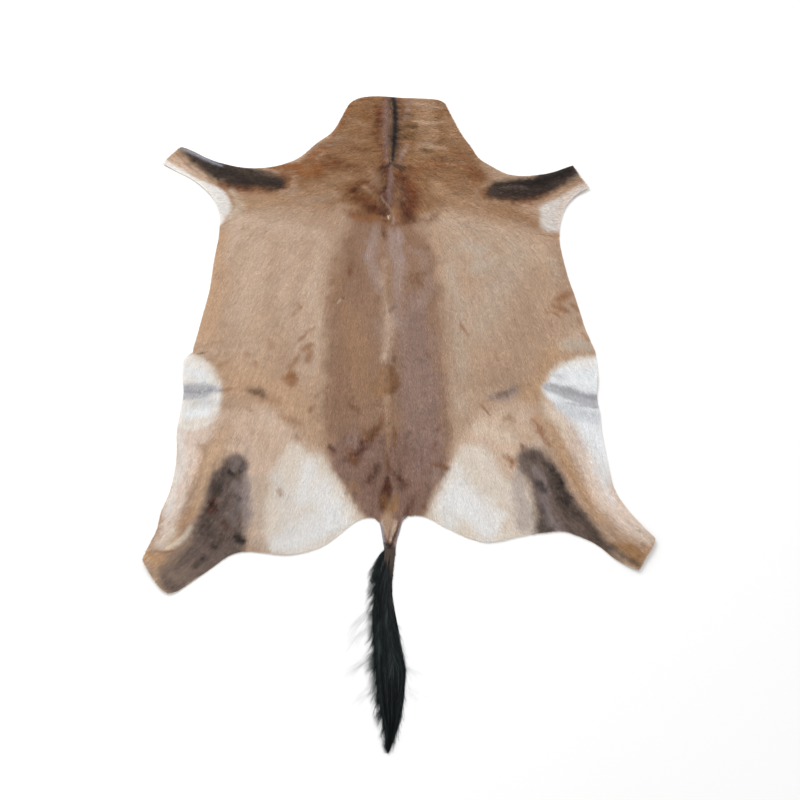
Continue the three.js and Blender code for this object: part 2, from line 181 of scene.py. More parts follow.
# The markings in the order in which they lie on each other
PHOTO_MARKS = [
    # Broad tones of the two sides
    Mark("left chest", "pale_tan", 110, 0.8, 14, [(250, 225, 14), (252, 270, 22), (248, 320, 24),
        (245, 370, 14)]),
    Mark("left chest light", "blush", 90, 0.5, 16, [(258, 245, 12), (250, 280, 12), (240, 320, 6)]),
    Mark("left upper chest", "blush", 60, 0.6, 14, [(240, 222, 5), (262, 224, 9), (300, 232, 9),
        (322, 236, 4)]),
    Mark("left inner flank", "blush", 70, 0.45, 12, [(322, 240, 7), (308, 275, 14), (304, 330, 13),
        (300, 372, 8)]),
    Mark("left edge light", "blush", 44, 0.7, 12, [(236, 222, 8), (233, 240, 9), (225, 262, 5)]),
    Mark("left inner flank b", "blush", 56, 0.5, 14, [(290, 244, 9), (287, 264, 10), (284, 290, 9),
        (283, 318, 7)]),
    Mark("left inner flank light", "cream", 30, 0.22, 12, [(320, 262, 2), (312, 290, 4), (318, 322, 3),
        (316, 352, 4), (312, 376, 2)]),
    Mark("left edge low", "pale_tan", 28, 0.85, 6, [(206, 338, 5), (203, 350, 4), (214, 351, 5)]),
    Mark("left side edge", "warm_tan", 60, 0.8, 10, [(222, 235, 6), (214, 285, 9), (205, 335, 9)]),
    Mark("left low flank", "warm_tan", 80, 0.7, 12, [(225, 372, 12), (255, 384, 16), (290, 400, 16),
        (318, 430, 10)]),
    Mark("left shoulder", "ochre", 60, 0.7, 16, [(240, 203, 5), (280, 204, 8), (325, 205, 12)]),
    Mark("right shoulder", "ochre", 60, 0.8, 16, [(548, 228, 3), (510, 214, 9), (475, 202, 12),
        (440, 205, 8)]),
    Mark("right chest", "pale_tan", 100, 0.8, 16, [(450, 225, 10), (490, 232, 12), (530, 250, 14)]),
    Mark("right upper chest", "greige", 50, 0.6, 14, [(444, 222, 2), (458, 226, 7), (490, 234, 6),
        (520, 246, 6)]),
    Mark("right inner light", "greige", 50, 0.6, 12, [(447, 236, 3), (456, 255, 8), (450, 275, 5)]),
    Mark("right inner flank", "ash", 56, 0.6, 14, [(450, 272, 5), (456, 300, 8), (457, 345, 7),
        (461, 376, 6), (463, 412, 5)]),
    Mark("right mid light", "pale_tan", 50, 0.5, 12, [(532, 303, 7), (538, 310, 5)]),
    Mark("right low light", "pale_tan", 44, 0.5, 12, [(470, 390, 6), (480, 391, 5)]),
    Mark("shoulder left pale", "pale_tan", 60, 0.5, 14, [(262, 212, 5), (284, 212, 6), (306, 212, 5)]),
    Mark("shoulder right brown", "ochre", 50, 0.6, 14, [(470, 212, 5), (492, 214, 6), (512, 218, 5)]),
    Mark("right chest grey", "greige", 90, 0.8, 16, [(515, 255, 14), (495, 290, 18), (480, 330, 12)]),
    Mark("right flank", "deep_tan", 100, 0.6, 14, [(530, 310, 12), (528, 335, 16), (515, 365, 14)]),
    Mark("right edge pale", "blush", 40, 0.75, 8, [(568, 300, 3), (574, 318, 5), (580, 335, 5)]),
    Mark("right chest ash", "ash", 54, 0.8, 14, [(468, 246, 6), (480, 252, 10), (476, 268, 8),
        (492, 260, 7)]),
    Mark("right edge ash", "ash", 40, 0.5, 10, [(552, 262, 5), (560, 276, 6)]),
    Mark("right side edge", "deep_tan", 50, 0.7, 10, [(561, 245, 6), (568, 285, 8), (578, 325, 7)]),
    Mark("right lower edge", "pale_tan", 40, 0.6, 8, [(575, 335, 8), (588, 348, 6)]),
    Mark("right lower edge ash", "ash", 34, 0.9, 10, [(564, 346, 5), (576, 344, 7), (586, 346, 5)]),
    Mark("right inner low", "greige", 30, 0.5, 8, [(451, 376, 3), (453, 392, 4), (456, 404, 3)]),
    Mark("right low flank", "gold", 60, 0.55, 14, [(530, 395, 8), (545, 365, 6), (556, 352, 5)]),
    Mark("right mid low flank", "deep_tan", 70, 0.6, 14, [(470, 385, 10), (500, 380, 14), (525, 372, 10)]),

    # Thighs and rump
    Mark("left thigh", "blush", 60, 0.9, 14, [(235, 412), (252, 406), (272, 411), (290, 430), (304, 446),
        (320, 458), (330, 480), (330, 530), (240, 556), (240, 470), (222, 440)]),
    Mark("left thigh upper light", "pale_tan", 34, 0.45, 10, [(302, 422, 5), (310, 429, 4)]),
    Mark("right thigh upper shade", "deep_tan", 34, 0.8, 10, [(468, 424, 5), (478, 425, 5)]),
    Mark("left thigh spot", "deep_tan", 30, 0.5, 8, [(233, 438, 5), (240, 441, 4)]),
    Mark("left thigh tan", "pale_tan", 70, 0.5, 14, [(240, 425, 6), (258, 430, 8), (268, 445, 5)]),
    Mark("left beige", "blush", 50, 0.85, 14, [(262, 415, 4), (278, 428, 5), (292, 438, 4)]),
    Mark("left rump white", "linen", 34, 0.95, 12, [(289, 444), (302, 446), (322, 455), (334, 468),
        (346, 488), (356, 505), (366, 518), (372, 540), (340, 560), (270, 560), (262, 530), (268, 490),
        (278, 460)]),
    Mark("left rump pale", "milk", 50, 0.97, 16, [(310, 468, 7), (304, 496, 9), (324, 492, 12),
        (334, 518, 16), (300, 535, 14), (276, 548, 6)]),
    Mark("left rump snow", "cool_white", 50, 0.35, 16, [(300, 500, 6), (325, 510, 8), (340, 520, 8),
        (300, 545, 8)]),
    Mark("left rump ash", "ash", 24, 0.5, 8, [(256, 542, 6), (264, 548, 5)]),
    Mark("left rump grey", "pale_grey", 46, 0.3, 12, [(276, 478, 4), (290, 500, 8), (286, 530, 8)]),
    Mark("right thigh", "blush", 60, 0.85, 14, [(470, 425), (490, 412), (512, 404), (535, 410), (548, 440),
        (540, 480), (536, 540), (480, 545), (450, 500), (452, 450)]),
    Mark("right thigh tan", "pale_tan", 50, 0.6, 14, [(500, 425, 5), (525, 430, 8), (520, 450, 5)]),
    Mark("right rump white", "linen", 30, 0.95, 12, [(456, 450), (472, 443), (486, 450), (498, 469),
        (510, 482), (523, 486), (530, 494), (536, 512), (536, 545), (490, 550), (440, 530), (425, 518),
        (432, 500), (438, 490), (447, 474), (453, 462)]),
    Mark("right beige", "cream", 50, 0.5, 14, [(474, 428, 4), (492, 430, 6), (508, 438, 4)]),
    Mark("right rump pale", "milk", 50, 0.95, 16, [(458, 472, 6), (456, 492, 13), (470, 505, 14),
        (490, 522, 12), (512, 512, 5)]),
    Mark("right rump snow", "cool_white", 50, 0.4, 16, [(455, 500, 9), (470, 512, 8), (490, 538, 5)]),
    Mark("right rump pink", "peach", 40, 0.5, 12, [(514, 494, 8), (522, 520, 9)]),
    fleck("right rump lilac", "greige", 16, 0.5, 6, [(531, 492, 1.5), (535, 508, 2), (536, 530, 2)]),
    Mark("right rump snow left", "cool_white", 40, 0.6, 10, [(444, 512, 7), (450, 522, 8)]),
    fleck("right rump veins", "blush", 14, 0.5, 8, [(500, 505, 1), (512, 512, 3), (505, 528, 2)]),

    # The back
    Mark("saddle top", "saddle_brown", 62, 0.95, 16, [(356, 205), (350, 225), (342, 245), (336, 262),
        (332, 285), (334, 310), (436, 310), (437, 285), (434, 262), (429, 245), (420, 225), (410, 205)]),
    Mark("saddle", "saddle_brown", 40, 0.96, 14, [(338, 268), (330, 284), (328, 300), (328, 330),
        (328, 360), (325, 390), (322, 415), (321, 432), (326, 448), (331, 460), (334, 470), (341, 480),
        (347, 490), (353, 500), (360, 510), (365, 517), (378, 540), (400, 545), (416, 530), (424, 510),
        (428, 499), (432, 489), (438, 480), (446, 470), (448, 460), (451, 448), (452, 436), (452, 424),
        (448, 410), (447, 395), (446, 375), (447, 355), (443, 330), (442, 305), (439, 284), (432, 268)]),
    Mark("saddle foot", "foot_brown", 15, 0.96, 7, [(336, 440), (332, 450), (331, 459), (334, 469),
        (341, 479), (347, 489), (353, 499), (360, 509), (364, 515), (378, 540), (400, 545), (416, 530),
        (424, 510), (428, 499), (432, 489), (438, 481), (445, 470), (447, 460), (446, 448), (420, 436),
        (360, 432)]),
    Mark("saddle left halo", "deep_tan", 40, 0.5, 12, [(316, 402, 4), (312, 420, 6), (316, 440, 3)]),
    Mark("saddle right halo", "deep_tan", 40, 0.45, 12, [(452, 300, 2), (452, 325, 5), (455, 395, 3)]),
    Mark("saddle upper left", "ochre", 40, 0.45, 14, [(338, 262, 4), (336, 290, 5), (345, 310, 8)]),
    Mark("saddle upper left brown", "saddle_deep", 40, 0.7, 14, [(350, 240, 4), (352, 262, 5),
        (349, 276, 3)]),
    Mark("saddle left gold", "ochre", 50, 0.6, 14, [(352, 320, 10), (356, 345, 12), (360, 370, 12),
        (362, 392, 12)]),
    Mark("saddle left brown", "saddle_deep", 44, 0.4, 12, [(344, 350, 3), (340, 380, 4), (344, 405, 6)]),
    Mark("saddle right mauve", "mauve_brown", 50, 0.85, 14, [(412, 300, 9), (416, 335, 16), (420, 375, 18),
        (420, 410, 18), (425, 440, 16), (420, 470, 10)]),
    Mark("saddle right top", "mauve", 40, 0.55, 12, [(412, 250, 4), (424, 255, 4), (430, 285, 5),
        (420, 305, 6)]),
    Mark("saddle right smear", "saddle_deep", 26, 0.75, 10, [(404, 278, 2), (412, 279, 4), (422, 276, 3)]),
    Mark("saddle right upper", "saddle_deep", 30, 0.4, 12, [(408, 232, 4), (414, 245, 5), (432, 252, 3),
        (430, 270, 4)]),
    Mark("saddle low", "dusky_brown", 60, 0.4, 14, [(345, 430, 10), (370, 450, 20), (395, 462, 18),
        (380, 490, 14), (388, 508, 8)]),
    Mark("saddle low lilac", "mauve_brown", 30, 0.6, 12, [(356, 426, 3), (353, 440, 4), (370, 452, 5),
        (378, 456, 3)]),
    Mark("saddle low right", "dusky_brown", 50, 0.3, 14, [(410, 440, 5), (425, 470, 8), (418, 495, 5)]),
    Mark("fan left", "mauve", 34, 0.85, 10, [(377, 226, 2), (374, 242, 5), (370, 256, 5), (373, 270, 5),
        (378, 290, 3)]),
    Mark("fan left light", "violet", 20, 0.6, 8, [(374, 228, 1), (370, 243, 1.5), (367, 258, 1.5)]),
    Mark("fan right", "mauve", 30, 0.9, 10, [(394, 230, 5), (395, 245, 7), (398, 262, 7), (398, 282, 6),
        (397, 305, 5), (400, 330, 3)]),
    Mark("fan right light", "violet", 22, 0.5, 8, [(398, 232, 2), (401, 248, 2.5), (403, 262, 2)]),
    Mark("fan middle", "rust", 14, 0.55, 6, [(383, 220, 2.5), (384, 230, 2.5), (385, 240, 1.5)]),
    Mark("fan middle low", "ochre", 16, 0.6, 8, [(389, 262, 2), (387, 285, 3), (389, 300, 2.5)]),
    fleck("olive spot", "umber", 9, 0.7, 3, [(383, 233, 0.8), (384, 237, 0.9)]),
    Mark("spine light", "blush", 30, 0.5, 8, [(385, 262, 1.2), (383, 285, 2), (386, 305, 3),
        (388, 320, 4.5), (388, 334, 6), (386, 348, 3.5), (384, 360, 2)]),
    Mark("spine glint", "blush", 10, 0.6, 4, [(389, 345, 0.6), (386, 352, 1.4), (384, 359, 0.8)]),
    fleck("spine spot a", "umber", 9, 0.5, 3, [(395, 307, 1.2), (390, 312, 0.6)]),
    fleck("spine spot b", "umber", 8, 0.45, 3, [(394, 358, 1), (394, 362, 0.8)]),
    Mark("back gold low", "gold_brown", 28, 0.5, 8, [(384, 372, 2.5), (376, 384, 5), (380, 394, 4)]),
    fleck("rust blot", "bark", 16, 0.8, 7, [(391, 368, 1.2), (393, 378, 2.4), (395, 385, 2.6),
        (391, 391, 1.8)]),
    Mark("rust blot gold", "gold_brown", 22, 0.4, 7, [(389, 376, 2), (387, 388, 3), (382, 396, 2.5)]),
    Mark("back light streak", "pale_tan", 14, 0.6, 5, [(386, 398, 2), (387, 412, 1.5), (387, 430, 1.2)]),
    Mark("back gold streak", "ochre", 16, 0.8, 6, [(388, 400, 1.5), (388, 425, 2), (387, 442, 1.8),
        (389, 456, 0.7)]),
    Mark("rust line right", "bark", 14, 0.8, 5, [(394, 428, 1), (395, 436, 1.6), (394, 446, 1.2)]),
    Mark("rust run a", "bark", 26, 0.8, 8, [(382, 417, 2), (381, 424, 3), (375, 432, 4.4), (366, 438, 4)]),
    Mark("rust run b", "bark", 24, 0.7, 8, [(364, 430, 3), (370, 440, 4), (374, 432, 3)]),
    fleck("dark run a", "deep_rust", 18, 0.85, 6, [(363, 443, 2), (364, 448, 3), (359, 453, 2.2),
        (352, 458, 3.2), (346, 460, 1.6)]),
    fleck("dark run b", "bark", 18, 0.7, 8, [(348, 452, 1.5), (354, 462, 2.5)]),
    fleck("dark run c", "deep_rust", 10, 0.75, 4, [(329, 446, 1), (334, 451, 1.4)]),
    fleck("smear left", "bark", 12, 0.6, 5, [(351, 406, 1), (358, 410, 1.6), (361, 414, 0.6)]),
    Mark("spine rust haze", "deep_rust", 24, 0.35, 6, [(389, 468, 2), (388, 478, 3)]),
    fleck("spine rust", "bark", 9, 0.7, 3, [(387, 455, 0.6), (387, 462, 1), (389, 470, 1)]),
    Mark("rump rust left", "deep_rust", 22, 0.65, 6, [(376, 467, 2.8), (373, 475, 4), (369, 481, 3)]),
    fleck("rump dark", "deep_rust", 12, 0.98, 5, [(388, 478, 1), (387, 488, 2.6), (384, 500, 2.4),
        (382, 509, 1.6)]),
    Mark("rump dark right", "deep_rust", 22, 0.65, 6, [(393, 472, 2), (398, 478, 3.4), (405, 485, 4)]),
    Mark("rump low right", "deep_rust", 20, 0.65, 5, [(412, 500, 2.4), (411, 508, 3.4), (407, 514, 3)]),
    fleck("rump low right b", "rust", 9, 0.5, 4, [(423, 506, 0.8), (426, 510, 1)]),
    Mark("rump light", "gold_brown", 16, 0.3, 6, [(384, 498, 3), (385, 508, 4)]),
    Mark("rump gold", "gold_brown", 18, 0.7, 6, [(396, 496, 1.5), (394, 506, 4), (388, 515, 4)]),
    fleck("rump left gold", "gold_brown", 16, 0.5, 6, [(353, 484, 2), (356, 488, 1.5), (349, 492, 1)]),
    fleck("right edge rust", "bark", 11, 0.9, 4, [(433, 465, 1), (440, 466, 2), (447, 469, 1.4)]),
    fleck("right olive a", "rust", 12, 0.4, 5, [(434, 444, 1.5), (433, 451, 1.4)]),
    fleck("right olive b", "rust", 10, 0.4, 4, [(440, 426, 0.8), (437, 430, 1.2)]),
    fleck("right spot a", "umber", 8, 0.35, 3, [(409, 432, 0.8), (408, 436, 0.7)]),
    fleck("right spot b", "umber", 8, 0.45, 4, [(418, 360, 1), (422, 361, 1.2)]),
    fleck("right spot c", "rust", 9, 0.5, 4, [(426, 353, 1), (429, 357, 1)]),
    fleck("right spot d", "rust", 9, 0.6, 4, [(420, 283, 0.8), (422, 285, 0.8)]),
    Mark("saddle mid light", "mauve", 34, 0.4, 10, [(377, 322, 4), (378, 334, 5)]),
    Mark("saddle mid light right", "mauve", 34, 0.42, 10, [(403, 334, 4), (402, 346, 5)]),
    Mark("saddle right light", "mauve", 26, 0.45, 8, [(437, 338, 3), (438, 350, 3)]),
    Mark("saddle foot light", "mauve", 26, 0.5, 8, [(437, 470, 4), (432, 480, 3)]),
    fleck("saddle spot left", "rust", 10, 0.5, 4, [(350, 270, 0.8), (350, 275, 1)]),
    Mark("scar light", "cream", 4, 0.8, 1, [(341, 300.5, 0.5), (338, 303, 0.5)]),
    Mark("scar dark", "umber", 6, 0.6, 2, [(344, 299, 0.6), (342, 297, 0.4)]),
    Mark("saddle line", "rust", 6, 0.35, 3, [(384, 306, 0.3), (385, 316, 0.4)]),

    # The neck and the withers
    Mark("neck", "neck_brown", 56, 0.97, 20, [(340, 90), (460, 88), (463, 135), (478, 158), (490, 172),
        (490, 192), (470, 198), (450, 200), (438, 206), (420, 220), (400, 226), (388, 224), (365, 220),
        (348, 208), (330, 204), (305, 196), (290, 186), (298, 166), (320, 154), (338, 138)]),
    Mark("neck right", "pale_ochre", 36, 0.8, 14, [(424, 104, 9), (425, 120, 11), (428, 136, 11),
        (424, 150, 7)]),
    Mark("neck left gold", "gold_brown", 44, 0.55, 14, [(352, 106, 6), (360, 118, 7), (346, 132, 6)]),
    Mark("neck left", "neck_pale", 44, 0.3, 14, [(352, 126, 4), (340, 142, 5), (352, 152, 3)]),
    Mark("neck left edge", "light_rust", 24, 0.6, 8, [(352, 103, 2), (340, 128, 2.5), (324, 150, 2.5),
        (304, 166, 2)]),
    Mark("neck top right light", "pale_tan", 26, 0.5, 10, [(413, 104, 3), (426, 108, 4), (440, 108, 3)]),
    Mark("neck right streak a", "pale_tan", 16, 0.5, 8, [(416, 122, 1.5), (428, 124, 2), (442, 123, 1.5)]),
    Mark("neck right streak b", "pale_tan", 16, 0.5, 8, [(416, 144, 1.5), (430, 146, 2), (444, 149, 1.5)]),
    Mark("neck left streak a", "pale_tan", 18, 0.35, 8, [(345, 118, 1.5), (356, 122, 2), (366, 126, 1.5)]),
    Mark("neck left streak b", "pale_tan", 18, 0.35, 8, [(338, 138, 1.5), (350, 140, 2), (364, 142, 1.5)]),
    Mark("neck low right", "pale_ochre", 46, 0.85, 16, [(434, 182, 5), (440, 192, 8), (456, 198, 6),
        (470, 202, 4)]),
    Mark("neck low left", "pale_ochre", 46, 0.7, 16, [(335, 192, 5), (315, 188, 6), (348, 178, 5)]),
    Mark("neck light left", "neck_pale", 26, 0.6, 10, [(372, 172, 3), (376, 184, 4), (364, 178, 3)]),
    Mark("left neck root", "rust", 34, 0.75, 12, [(330, 158, 3), (336, 166, 4), (322, 166, 4)]),
    Mark("left neck root b", "light_rust", 36, 0.9, 14, [(290, 176, 4), (304, 174, 5), (318, 174, 5),
        (312, 160, 4)]),
    Mark("left neck root c", "pale_ochre", 34, 0.5, 12, [(292, 186, 2), (305, 196, 3), (322, 195, 2)]),
    Mark("right neck root", "light_rust", 44, 0.6, 14, [(455, 158, 4), (466, 168, 6), (480, 176, 4),
        (470, 184, 3)]),
    Mark("right neck root dark", "rust", 30, 0.4, 10, [(460, 156, 3), (472, 170, 4), (484, 180, 3)]),
    Mark("right collar", "rust", 36, 0.4, 12, [(424, 168, 4), (440, 164, 7), (454, 160, 5)]),
    Mark("left collar", "rust", 34, 0.5, 12, [(328, 160, 5), (342, 166, 6), (354, 168, 3)]),
    Mark("left neck shore", "light_rust", 24, 0.7, 8, [(300, 167, 4), (308, 160, 5), (320, 150, 5)]),
    Mark("left collar light", "tan", 34, 0.65, 12, [(308, 202, 5), (322, 199, 6), (334, 196, 5)]),
    Mark("neck right light", "pale_ochre", 34, 0.6, 10, [(449, 120, 5), (453, 140, 6)]),
    Mark("neck right light low", "pale_ochre", 34, 0.4, 10, [(450, 160, 5), (463, 164, 5)]),
    fleck("neck blotch a", "light_rust", 18, 0.6, 7, [(362, 112, 1.5), (368, 118, 2.5)]),
    Mark("neck blotch e", "rust", 22, 0.6, 8, [(376, 108, 2), (380, 120, 4), (376, 134, 3), (380, 150, 2)]),
    fleck("neck blotch b", "rust", 14, 0.35, 7, [(357, 99, 1.5), (372, 100, 1.5)]),
    fleck("neck blotch c", "rust", 14, 0.4, 7, [(352, 149, 1), (366, 150, 1.5), (376, 147, 1)]),
    fleck("neck blotch d", "light_rust", 16, 0.5, 7, [(410, 171, 1.5), (424, 170, 2)]),
    Mark("nape shade", "rust", 28, 0.76, 8, [(387, 99, 4), (384, 116, 5), (386, 140, 4), (384, 162, 4)]),
    Mark("nape shade right", "plum_brown", 22, 0.5, 8, [(399, 100, 2), (400, 120, 2.5), (398, 145, 2.5),
        (400, 162, 3)]),
    fleck("nape dark patch", "rust", 12, 0.7, 5, [(380, 112, 1.8), (382, 118, 2.2), (378, 122, 1.2)]),
    fleck("nape dark patch b", "rust", 10, 0.5, 5, [(374, 142, 1), (383, 146, 1.5)]),
    # Partly painted light: the violet beside the nape stripe is where the hair parts, with a painted sheen
    # on the parted hair.
    Mark("nape violet left", "violet", 26, 0.4, 6, [(387, 101, 2.4), (386, 120, 3), (386, 140, 2.8),
        (387, 161, 1.6)]),
    Mark("nape violet right", "violet", 20, 0.4, 8, [(407, 100, 1.5), (409, 112, 2.4), (405, 122, 2)]),
    Mark("nape violet right low", "violet", 18, 0.45, 5, [(406, 146, 1.5), (402, 154, 2), (399, 162, 1.2)]),
    fleck("nape olive a", "olive", 9, 0.75, 4, [(404, 114, 0.6), (412, 116, 1.2)]),
    fleck("nape olive b", "olive", 10, 0.85, 4, [(405, 125, 1), (411, 127, 1.5), (416, 128, 1)]),
    fleck("nape olive c", "olive", 12, 0.7, 4, [(405, 137, 2.6), (412, 137, 2.6)]),
    fleck("nape olive d", "olive", 10, 0.75, 4, [(422, 151, 1), (427, 152, 1.6), (432, 152, 1)]),
    fleck("nape olive e", "olive", 9, 0.4, 4, [(440, 139, 0.8), (452, 141, 1)]),
    fleck("nape brown", "umber", 18, 0.8, 3, [(392, 98, 2.8), (394, 120, 3.2), (393, 145, 3),
        (391, 164, 2.2)]),
    Mark("nape stripe", "black", 6, 1, 0.6, [(392.6, 96, 1.9), (394.5, 106, 2.4), (395.3, 122, 2.2),
        (394.7, 138, 2), (393.4, 151, 1.7), (392.5, 162, 1.1)]),
    Mark("nape bar left", "umber", 12, 0.9, 4, [(381, 169, 0.8), (386, 167, 1.8), (391, 166, 1.8)]),
    Mark("nape bar right", "umber", 12, 0.85, 4, [(394, 166, 1.6), (399, 168, 2.2), (404, 168, 1)]),
    Mark("bar haze", "deep_rust", 30, 0.55, 8, [(376, 170, 2), (392, 171, 4), (410, 169, 2)]),
    Mark("withers left", "rust", 44, 0.8, 14, [(350, 188, 4), (362, 200, 7), (376, 212, 8)]),
    Mark("withers left core", "deep_rust", 30, 0.8, 8, [(364, 206, 2.5), (373, 208, 4.5), (382, 212, 3)]),
    Mark("withers left brown", "rust", 24, 0.7, 8, [(352, 190, 2), (364, 182, 4), (376, 186, 5),
        (384, 194, 4)]),
    fleck("withers left foot", "rust", 18, 0.5, 7, [(344, 211, 2), (352, 214, 3), (360, 215, 2)]),
    Mark("withers right foot", "saddle_deep", 24, 0.7, 8, [(420, 220, 4), (428, 222, 5), (434, 217, 3)]),
    fleck("withers left light", "neck_pale", 20, 0.6, 8, [(378, 178, 2), (374, 184, 3), (380, 188, 2)]),
    Mark("withers right", "rust", 44, 0.95, 14, [(400, 176, 5), (410, 188, 8), (410, 202, 8),
        (404, 218, 7)]),
    fleck("withers right core", "deep_rust", 20, 0.75, 8, [(399, 182, 1.5), (404, 192, 2.5), (402, 206, 3),
        (405, 220, 2.5)]),
    fleck("withers right spots", "deep_rust", 10, 0.5, 5, [(412, 205, 1), (408, 214, 2), (414, 222, 1.2)]),
    Mark("withers right top", "rust", 26, 0.5, 8, [(411, 171, 4), (418, 177, 4)]),
    Mark("withers low middle", "rust", 22, 0.4, 6, [(388, 221, 4), (396, 224, 3)]),
    Mark("withers middle", "deep_rust", 34, 0.6, 8, [(384, 170, 6), (389, 184, 6), (389, 198, 5)]),
    Mark("withers right brow", "deep_rust", 24, 0.4, 6, [(400, 172, 3), (405, 176, 4)]),
    Mark("right neck pale", "neck_pale", 34, 0.5, 10, [(457, 186, 4), (466, 186, 5)]),
    Mark("withers left low", "light_rust", 26, 0.6, 10, [(354, 218, 3), (364, 222, 3), (372, 218, 3)]),
    Mark("withers dark", "deep_rust", 20, 0.7, 6, [(386, 190, 3), (385, 200, 4), (386, 212, 4)]),
    Mark("withers shade", "plum_brown", 30, 0.6, 10, [(384, 196, 4), (398, 186, 4), (402, 200, 5),
        (386, 208, 4)]),
    fleck("withers channel", "violet_brown", 8, 0.7, 3, [(391, 167, 0.7), (391, 180, 1.1), (389, 192, 1.1),
        (390, 204, 0.8)]),
    Mark("parting left", "blush", 10, 0.45, 3, [(362, 187, 0.6), (367, 189, 1), (371, 193, 0.8)]),
    Mark("parting middle", "blush", 8, 0.4, 2, [(381, 197, 0.4), (384, 202, 0.8), (389, 208, 0.8)]),
    Mark("parting end", "violet", 12, 0.4, 3, [(390, 209, 1), (393, 216, 1.2), (395, 222, 0.8)]),
    Mark("parting low", "violet", 7, 0.5, 3, [(394, 216, 0.6), (393, 224, 1)]),
    Mark("whorl shade", "deep_rust", 12, 0.95, 4, [(380, 214, 1.5), (386, 216, 2), (390, 214, 1)]),
    Mark("whorl shade low", "deep_rust", 8, 0.7, 3, [(384, 221, 1), (387, 222, 1.2)]),
    # Painted highlight: a white glint where the hair of the whorl stands up.
    Mark("whorl tuft", "cream", 3, 0.97, 0.5, [(388.3, 217, 0.9), (388.6, 220, 0.6)]),
    Mark("whorl tuft shade", "umber", 4, 0.6, 1, [(391, 219, 0.5), (390.5, 222, 0.4)]),

    # The forelegs
    Mark("left foreleg tan", "blush", 26, 0.8, 7, [(165, 163, 4), (180, 165, 6), (196, 172, 5),
        (206, 178, 3)]),
    Mark("left foreleg wash", "warm_tan", 14, 0.5, 5, [(167, 159, 2.5), (180, 166, 3)]),
    Mark("left foreleg ember", "light_rust", 14, 0.35, 5, [(266, 172, 2), (278, 177, 2.6)]),
    Mark("left foreleg ochre", "gold", 18, 0.6, 7, [(186, 157, 2), (196, 166, 3), (208, 175, 3),
        (220, 184, 2)]),
    Mark("left foreleg speck", "light_rust", 8, 0.5, 4, [(178, 157, 1), (190, 168, 1.2), (203, 178, 1)]),
    Mark("left foreleg under", "light_rust", 34, 0.85, 10, [(224, 187, 5), (228, 186, 7), (250, 188, 10),
        (268, 188, 10), (286, 184, 8)]),
    Mark("left foreleg above", "light_rust", 22, 0.9, 8, [(262, 164, 3), (276, 167, 4), (290, 168, 5),
        (300, 166, 4)]),
    Mark("left foreleg under b", "gold", 44, 0.45, 10, [(232, 202, 4), (252, 204, 6), (280, 200, 5)]),
    Mark("left foreleg dark", "dark_coat", 32, 0.98, 13, [(180, 149), (200, 155), (222, 160), (240, 163),
        (256, 167), (270, 175), (286, 183), (285, 189), (275, 191), (262, 191), (240, 189), (221, 184),
        (204, 175), (192, 164), (184, 156)]),
    Mark("left foreleg black", "black", 16, 0.45, 8, [(204, 164, 2), (218, 171, 4), (236, 176, 3),
        (246, 181, 3)]),
    Mark("left foreleg black b", "black", 16, 0.4, 8, [(256, 180, 2), (266, 182, 2.5), (278, 186, 1.5)]),
    Mark("left foreleg brown", "umber", 20, 0.5, 8, [(262, 172, 3), (280, 178, 4), (292, 183, 2)]),
    Mark("left foreleg brown b", "rust", 14, 0.35, 6, [(232, 186, 1), (248, 188, 2), (262, 187, 1)]),
    Mark("left foreleg low gold", "gold_brown", 26, 0.35, 8, [(276, 197, 4), (287, 197, 4)]),
    Mark("left foreleg orange", "light_rust", 14, 0.5, 6, [(264, 166, 1.5), (274, 170, 2.5),
        (286, 175, 3)]),
    Mark("left foreleg orange b", "light_rust", 10, 0.55, 4, [(220, 192, 1), (227, 197, 2),
        (236, 200, 1.5)]),
    # Painted highlight: the gloss of the black hair along the raised top edge of the left foreleg.
    Mark("left foreleg sheen", "slate", 11, 0.8, 4, [(184, 152.5, 1.2), (192, 155, 2.2), (204, 160, 2.8),
        (214, 164, 2.4), (222, 167, 1)]),
    Mark("left foreleg top tan", "neck_brown", 10, 0.6, 4, [(228, 163, 0.5), (250, 166, 1), (270, 168, 1.5),
        (285, 169, 1)]),
    Mark("left armpit", "white", 13, 0.98, 4, [(155, 156), (170, 164), (185, 172), (198, 180), (208, 185),
        (216, 188), (224, 193), (230, 200), (232, 208), (230, 214), (226, 219), (222, 226), (214, 228),
        (200, 200), (160, 175)]),
    fleck("left armpit fade", "cream", 20, 0.5, 6, [(232, 192, 1), (241, 206, 2.5), (230, 219, 2)]),
    Mark("right foreleg tan", "ochre", 20, 0.8, 6, [(536, 200, 3), (552, 193, 4), (568, 184, 3)]),
    Mark("right foreleg light", "ochre", 12, 0.5, 5, [(560, 195, 1), (570, 188, 2.5), (583, 183, 4)]),
    Mark("right foreleg under", "light_rust", 28, 0.9, 10, [(486, 192, 6), (508, 196, 10), (528, 197, 10),
        (544, 195, 5)]),
    Mark("right foreleg under b", "ochre", 34, 0.7, 10, [(500, 212, 3), (520, 216, 5), (538, 222, 3)]),
    Mark("right foreleg grey", "neck_brown", 20, 0.35, 8, [(528, 222, 2), (534, 226, 2.5)]),
    Mark("right foreleg dark", "dark_coat", 28, 0.98, 12, [(482, 192), (494, 184), (504, 181), (520, 179),
        (533, 176), (550, 170), (574, 160), (580, 173), (577, 181), (564, 187), (551, 194), (541, 200),
        (525, 202), (508, 202), (493, 199)]),
    Mark("right foreleg black", "black", 16, 0.8, 8, [(508, 186, 2), (530, 186, 5), (548, 180, 5),
        (566, 172, 5)]),
    Mark("right foreleg brown", "umber", 18, 0.5, 8, [(478, 190, 1.5), (492, 190, 4), (508, 187, 3)]),
    Mark("right foreleg brown b", "taupe", 12, 0.5, 6, [(500, 190, 1), (516, 188, 2), (528, 190, 1.2)]),
    Mark("right foreleg low gold", "gold_brown", 26, 0.4, 8, [(494, 208, 4), (506, 211, 5)]),
